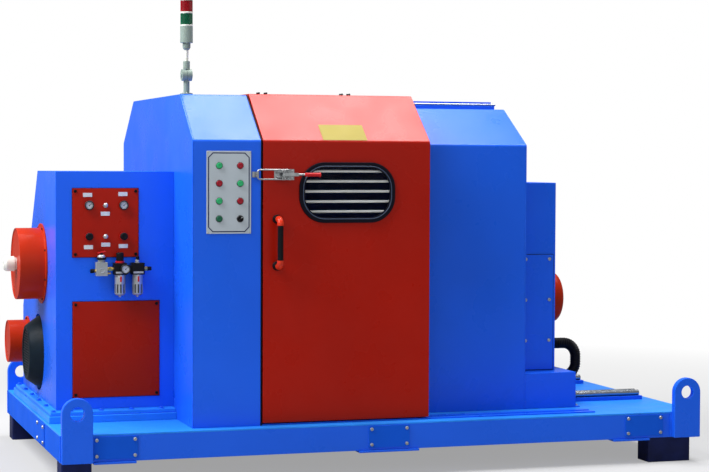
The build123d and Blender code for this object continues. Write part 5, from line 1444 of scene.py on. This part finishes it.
@dataclass
class RightEnd:
    """Right headstock, terminal box, conduit and deck rails."""

    screw_radius: float = 0.008
    screw_inset: float = 0.020
    screw_rows: int = 3
    screw_pitch: float = 0.186
    seam_overhang: float = 0.005
    bolt_radius: float = 0.006
    bolt_seat: Point = (0.011, 0.006)
    nut_radius: float = 0.032
    nut_length: float = 0.016
    tube_radius: float = 0.025
    tube_bend: float = 0.062
    tube_steps: int = 20
    rib_pitch: float = 0.0085
    rib_depth: float = 0.0028
    rib_points: int = 4
    box_flange: float = 0.022

    def build(self) -> None:
        """Dress the right end and add its screws and conduit."""
        dress(BLUE_PAINT, Edge.CAST, "right_headstock")
        dress(BLUE_PAINT, Edge.THIN, "right_access_cover")
        dress(ORANGE_PAINT, Edge.BARE, "right_drum_cover")
        dress(BLUE_PAINT, Edge.THICK, "terminal_box")
        dress(BLUE_PAINT, Edge.SHEET, "deck_rail_supports")
        dress(RAIL_STEEL, Edge.BARE, "deck_rails")
        self.cover_seam()
        self.cover_screws()
        self.conduit()

    def cover_seam(self) -> None:
        """Add the dark seam round the access cover."""
        seam = Shape()
        gasket(seam, Box.of("right_access_cover"), self.seam_overhang)
        seam.piece("access_cover_seam", BLACK_RUBBER)

    def cover_screws(self) -> None:
        """Add the pale screws of the access cover and of the terminal box's flange."""
        inset, rows = self.screw_inset, self.screw_rows
        low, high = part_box("right_access_cover")
        places = [Vector((x, low.y, high.z - inset - row * self.screw_pitch))
                  for x in (low.x + inset, high.x - inset) for row in range(rows)]
        screws = Shape().fasteners(Head.SOCKET, self.screw_radius, *places)
        low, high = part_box("terminal_box")
        back, rise = self.bolt_seat
        places = [Vector((high.x - back, y, low.z + rise))
                  for y in between(low.y + inset, high.y - inset, rows)]
        screws.fasteners(Head.HEXAGON, self.bolt_radius, *places, facing=Facing.UP)
        screws.piece("right_cover_screws", BOLT_STEEL)

    def conduit(self) -> None:
        """Add the ribbed conduit with its nuts, in place of the plain solid."""
        box = Box.of("conduit")
        n = self.nut_length
        r = self.nut_radius
        wall = Vector((box.low.x, box.middle.y, box.high.z - r))
        inlet = Vector((Box.of("terminal_box").high.x - self.box_flange, box.middle.y, box.low.z + r))
        reach = Vector((n * 0.7, 0, 0))
        path = self.route(wall + reach, box.high.x - self.tube_radius, inlet + reach)
        half_rib = self.rib_points // 2
        radii = [self.tube_radius - self.rib_depth * (number % self.rib_points >= half_rib)
                 for number in range(len(path))]
        tube = Shape().tube(path, radii, self.tube_steps)
        nut = [(0, r * 0.86), (0.001, r, HEX), (n - 0.004, r, HEX), (n - 0.002, r * 0.86),
               (n, r * 0.82), (n, 0)]
        tube.lathe(nut, wall, inlet, facing=Facing.RIGHT, steps=SMALL_STEPS)
        tube.piece("ribbed_conduit", BLACK_PLASTIC, replaces=("conduit",))

    def route(self, start: Vector, end_x: float, finish: Vector) -> list[Vector]:
        """Lay out the conduit's line: out, down and back, with two equal bends.

        Args:
            start: Where it leaves the headstock's nut.
            end_x: X of its upright run.
            finish: Where it enters the terminal box's nut.

        Returns:
            Points a quarter of a rib apart.
        """
        bend = self.tube_bend
        arc = bend * math.pi / 2
        out = end_x - bend - start.x
        drop = start.z - finish.z - 2 * bend
        back = end_x - bend - finish.x
        whole = out + drop + back + 2 * arc
        points = []
        for run in between(0, whole, int(whole / self.rib_pitch) * self.rib_points):
            first = min(max((run - out) / bend, 0), math.pi / 2)
            second = min(max((run - out - arc - drop) / bend, 0), math.pi / 2)
            turns = bend * (math.sin(first) + math.cos(second) - 1)
            x = start.x + min(run, out) + turns - max(run - whole + back, 0)
            fall = min(max(run - out - arc, 0), drop)
            z = start.z - bend * (1 - math.cos(first) + math.sin(second)) - fall
            points.append(Vector((x, start.y, z)))
        return points


@dataclass
class SignalTower:
    """Folding signal tower on the hood's top."""

    lens_flutes: int = 36
    band_radius: float = 0.0268
    foot_height: float = 0.006
    screw_count: int = 3
    screw_radius: float = 0.0035
    screw_circle: float = 0.021
    screw_angle: float = 0.4
    pin_head: Profile = ((0, 0.009), (0.003, 0.009), (0.004, 0.0072), (0.004, 0))
    ear_width: float = 0.0214
    pole_radius: float = 0.0083
    pole_length: float = 0.0485

    def build(self) -> None:
        """Dress the tower and add its lenses, bands, pole tube and screws."""
        dress(GREY_PLASTIC, Edge.THIN, "tower_bracket", "tower_pole")
        dress(GREY_PLASTIC, Edge.SHEET, "tower_body")
        lower, upper = sorted(islands("tower_lenses"), key=lambda box: box.low.z)
        self.lens(lower, LENS_GREEN, ("tower_lenses",))
        self.lens(upper, LENS_RED, ())
        self.bands(lower, upper.low.z - lower.high.z)
        self.pole_tube()
        self.fixings()

    def lens(self, box: Box, finish: Finish, replaces: Sequence[str]) -> None:
        """Build a fluted lens.

        Args:
            box: Box of its solid.
            finish: Its finish, which also names it.
            replaces: Nodes that it stands for.
        """
        r = box.radius
        h = box.size.z
        flutes = -self.lens_flutes
        lens = Shape().lathe([(0, r * 0.97), (0.003, r), (0.004, r * 0.99, flutes),
                              (h - 0.004, r * 0.99, flutes), (h - 0.003, r), (h, r * 0.97)],
                             box.seat(Facing.UP), facing=Facing.UP, steps=self.lens_flutes * 4)
        lens.piece(finish.name, finish, Body.TOWER, replaces=replaces)

    def bands(self, lower: Box, gap: float) -> None:
        """Add the pale bands below and above the lower lens.

        Args:
            lower: Box of the lower lens.
            gap: Height between the lenses.
        """
        r = self.band_radius
        feet = (lower.seat(Facing.UP) - Vector((0, 0, gap)), lower.seat(Facing.DOWN))
        profile = [(0.0006, r - 0.001), (0.0016, r), (gap - 0.0016, r), (gap - 0.0006, r - 0.001)]
        bands = Shape().lathe(profile, *feet, facing=Facing.UP, steps=FINE_STEPS)
        bands.piece("tower_bands", WHITE_PLASTIC, Body.TOWER)

    def pole_tube(self) -> None:
        """Add the pale tube between the hinge's sleeve and the lamp's neck."""
        place = pivot("tower_fold")
        place.z = Box.of("tower_pole").high.z - self.pole_length
        r = self.pole_radius
        tube = Shape().lathe([(0, r - 0.0002), (0.001, r), (self.pole_length - 0.001, r),
                              (self.pole_length, r - 0.0002)], place, facing=Facing.UP)
        tube.piece("tower_pole_tube", WHITE_PLASTIC, Body.TOWER)

    def fixings(self) -> None:
        """Add the foot's screws and the head of the hinge's pin."""
        axis = pivot("tower_fold")
        z = Box.of("tower_bracket").low.z + self.foot_height
        places = [Vector((axis.x + x, axis.y + y, z))
                  for x, y in around(self.screw_count, self.screw_circle, self.screw_angle)]
        screws = Shape().fasteners(Head.SOCKET, self.screw_radius, *places, facing=Facing.UP)
        screws.piece("tower_foot_screws", BOLT_STEEL)
        side = axis - Vector((self.ear_width, 0, 0))
        head = Shape().lathe(self.pin_head, side, facing=Facing.LEFT, steps=SMALL_STEPS)
        head.piece("tower_hinge_head", GREY_PLASTIC)


@dataclass(frozen=True)
class Lamp:
    """Rectangular soft lamp: its centre, the point that it faces, its width and height, and its watts."""

    name: str
    place: tuple[float, float, float]
    target: tuple[float, float, float]
    size: Point
    power: float

    def hang(self) -> None:
        """Add the lamp to the scene."""
        data = bpy.data.lights.new(self.name, "AREA")
        data.shape = "RECTANGLE"
        data.size, data.size_y = self.size
        data.energy = self.power
        lamp = bpy.data.objects.new(self.name, data)
        lamp.location = self.place
        way = Vector(self.target) - Vector(self.place)
        lamp.rotation_euler = way.to_track_quat("-Z", "Y").to_euler()
        lamp.visible_camera = False
        bpy.context.scene.collection.objects.link(lamp)


@dataclass
class Studio:
    """Pale floor, soft lamps, white surroundings and the camera."""

    lamps: tuple[Lamp, ...] = (
        Lamp("overhead_softbox", (1.7, 0.3, 7.6), (1.4, 0.2, 0.8), (4.6, 3.4), 720),
        Lamp("left_softbox", (-5.0, -0.8, 6.0), (-1.2, -0.3, 0.8), (5.0, 5.0), 980),
        Lamp("front_softbox", (-0.6, -9.5, 4.0), (0.0, -0.5, 0.8), (9.0, 6.0), 150))
    camera_place: tuple[float, float, float] = (-2.5725, -8.445, 1.330)
    camera_turn: tuple[float, float, float] = (87.83, -0.23, -17.75)
    lens: float = 96.29
    sensor: float = 36.0
    floor_size: float = 120.0
    floor_colour: Colour = (0.40, 0.40, 0.40)
    mirrored_colour: Colour = (0.14, 0.14, 0.14)
    floor_roughness: float = 0.9
    fade_start: float = 2.6
    fade_end: float = 5.5
    shadow_lift: float = 0.35
    gloss_share: float = 0.14
    ambient_colour: Colour = (0.95, 0.97, 1.0)
    ambient_strength: float = 0.20

    def build(self) -> None:
        """Make the surroundings."""
        self.floor()
        self.world()
        for lamp in self.lamps:
            lamp.hang()
        self.camera()
        bpy.context.scene.view_settings.view_transform = "Standard"

    def floor(self) -> None:
        """Lay the floor, which fades to white away from the machine."""
        data = bpy.data.meshes.new("floor")
        half = self.floor_size / 2
        corners = [(-half, -half, 0), (half, -half, 0), (half, half, 0), (-half, half, 0)]
        data.from_pydata(corners, [], [(0, 1, 2, 3)])
        floor = bpy.data.objects.new("floor", data)
        bpy.context.scene.collection.objects.link(floor)
        graph = Graph("pale_floor")
        path = graph.tree.nodes.new("ShaderNodeLightPath")
        colour = graph.mix(path.outputs["Is Glossy Ray"], self.floor_colour, self.mirrored_colour)
        graph.link(colour, graph.shader.inputs["Base Color"])
        graph.shader.inputs["Roughness"].default_value = self.floor_roughness
        graph.shader.inputs["Specular IOR Level"].default_value = 0.0
        far = graph.work_out("ShaderNodeVectorMath", "LENGTH", graph.place)
        fade = graph.spread(far, 0.0, 1.0, self.fade_start, self.fade_end)
        lifted = graph.spread(fade, self.shadow_lift, 1.0, 0.0, 1.0)
        share = graph.work_out("ShaderNodeMath", "MULTIPLY", lifted, self.seen(graph.tree))
        white = graph.add("ShaderNodeEmission", Strength=1.0)
        self.blend(graph.tree, share, graph.shader, white, "Material Output")
        data.materials.append(graph.material)

    def world(self) -> None:
        """Set a soft grey light all round that looks white to the camera."""
        world = bpy.data.worlds.new("studio")
        bpy.context.scene.world = world
        world.use_nodes = True
        tree = world.node_tree
        ambient = tree.nodes["Background"]
        white = tree.nodes.new("ShaderNodeBackground")
        for light, colour, strength in ((ambient, self.ambient_colour, self.ambient_strength),
                                        (white, (1.0, 1.0, 1.0), 1.0)):
            light.inputs["Color"].default_value = (*colour, 1.0)
            light.inputs["Strength"].default_value = strength
        self.blend(tree, self.seen(tree), ambient, white, "World Output")

    def seen(self, tree: bpy.types.NodeTree) -> Socket:
        """Add a test for rays that see the surroundings.

        Args:
            tree: Node tree that takes the test.

        Returns:
            1 for camera and transmission rays, the gloss share for glossy rays, or else 0.
        """
        path = tree.nodes.new("ShaderNodeLightPath")
        shares = {"Is Camera Ray": 1.0, "Is Transmission Ray": 1.0, "Is Glossy Ray": self.gloss_share}
        total = None
        for name, share in shares.items():
            add = tree.nodes.new("ShaderNodeMath")
            add.operation = "MULTIPLY_ADD"
            add.use_clamp = True
            add.inputs[1].default_value = share
            add.inputs[2].default_value = 0.0
            tree.links.new(path.outputs[name], add.inputs[0])
            if total:
                tree.links.new(total, add.inputs[2])
            total = add.outputs[0]
        return total

    @staticmethod
    def blend(tree: bpy.types.NodeTree, share: Socket, first: bpy.types.Node, second: bpy.types.Node,
              output: str) -> None:
        """Blend two shaders by a share and send the blend to an output.

        Args:
            tree: Node tree of the shaders.
            share: Share of the second shader.
            first: Shader at 0.
            second: Shader at 1.
            output: Name of the output node.
        """
        mixed = tree.nodes.new("ShaderNodeMixShader")
        for source, target in zip((share, first.outputs[0], second.outputs[0]), mixed.inputs):
            tree.links.new(source, target)
        tree.links.new(mixed.outputs[0], tree.nodes[output].inputs["Surface"])

    def camera(self) -> None:
        """Set the camera where the photograph was taken from."""
        data = bpy.data.cameras.new("camera")
        data.lens = self.lens
        data.sensor_width = self.sensor
        data.sensor_fit = "HORIZONTAL"
        camera = bpy.data.objects.new("camera", data)
        camera.location = self.camera_place
        camera.rotation_euler = [math.radians(angle) for angle in self.camera_turn]
        bpy.context.scene.collection.objects.link(camera)
        bpy.context.scene.camera = camera


def main() -> None:
    """Dress the machine piece by piece, then set up the studio."""
    logging.basicConfig(level=logging.INFO, format="%(name)s: %(message)s")
    parts = (BaseFrame(), LeftHeadstock(), GaugePanel(), AirSet(), Hood(), ButtonStation(), SlidingDoor(),
             ToggleLatch(), RightEnd(), SignalTower(), Studio())
    for part in parts:
        LOG.info("building %s", type(part).__name__)
        part.build()


if __name__ == "__main__":
    main()
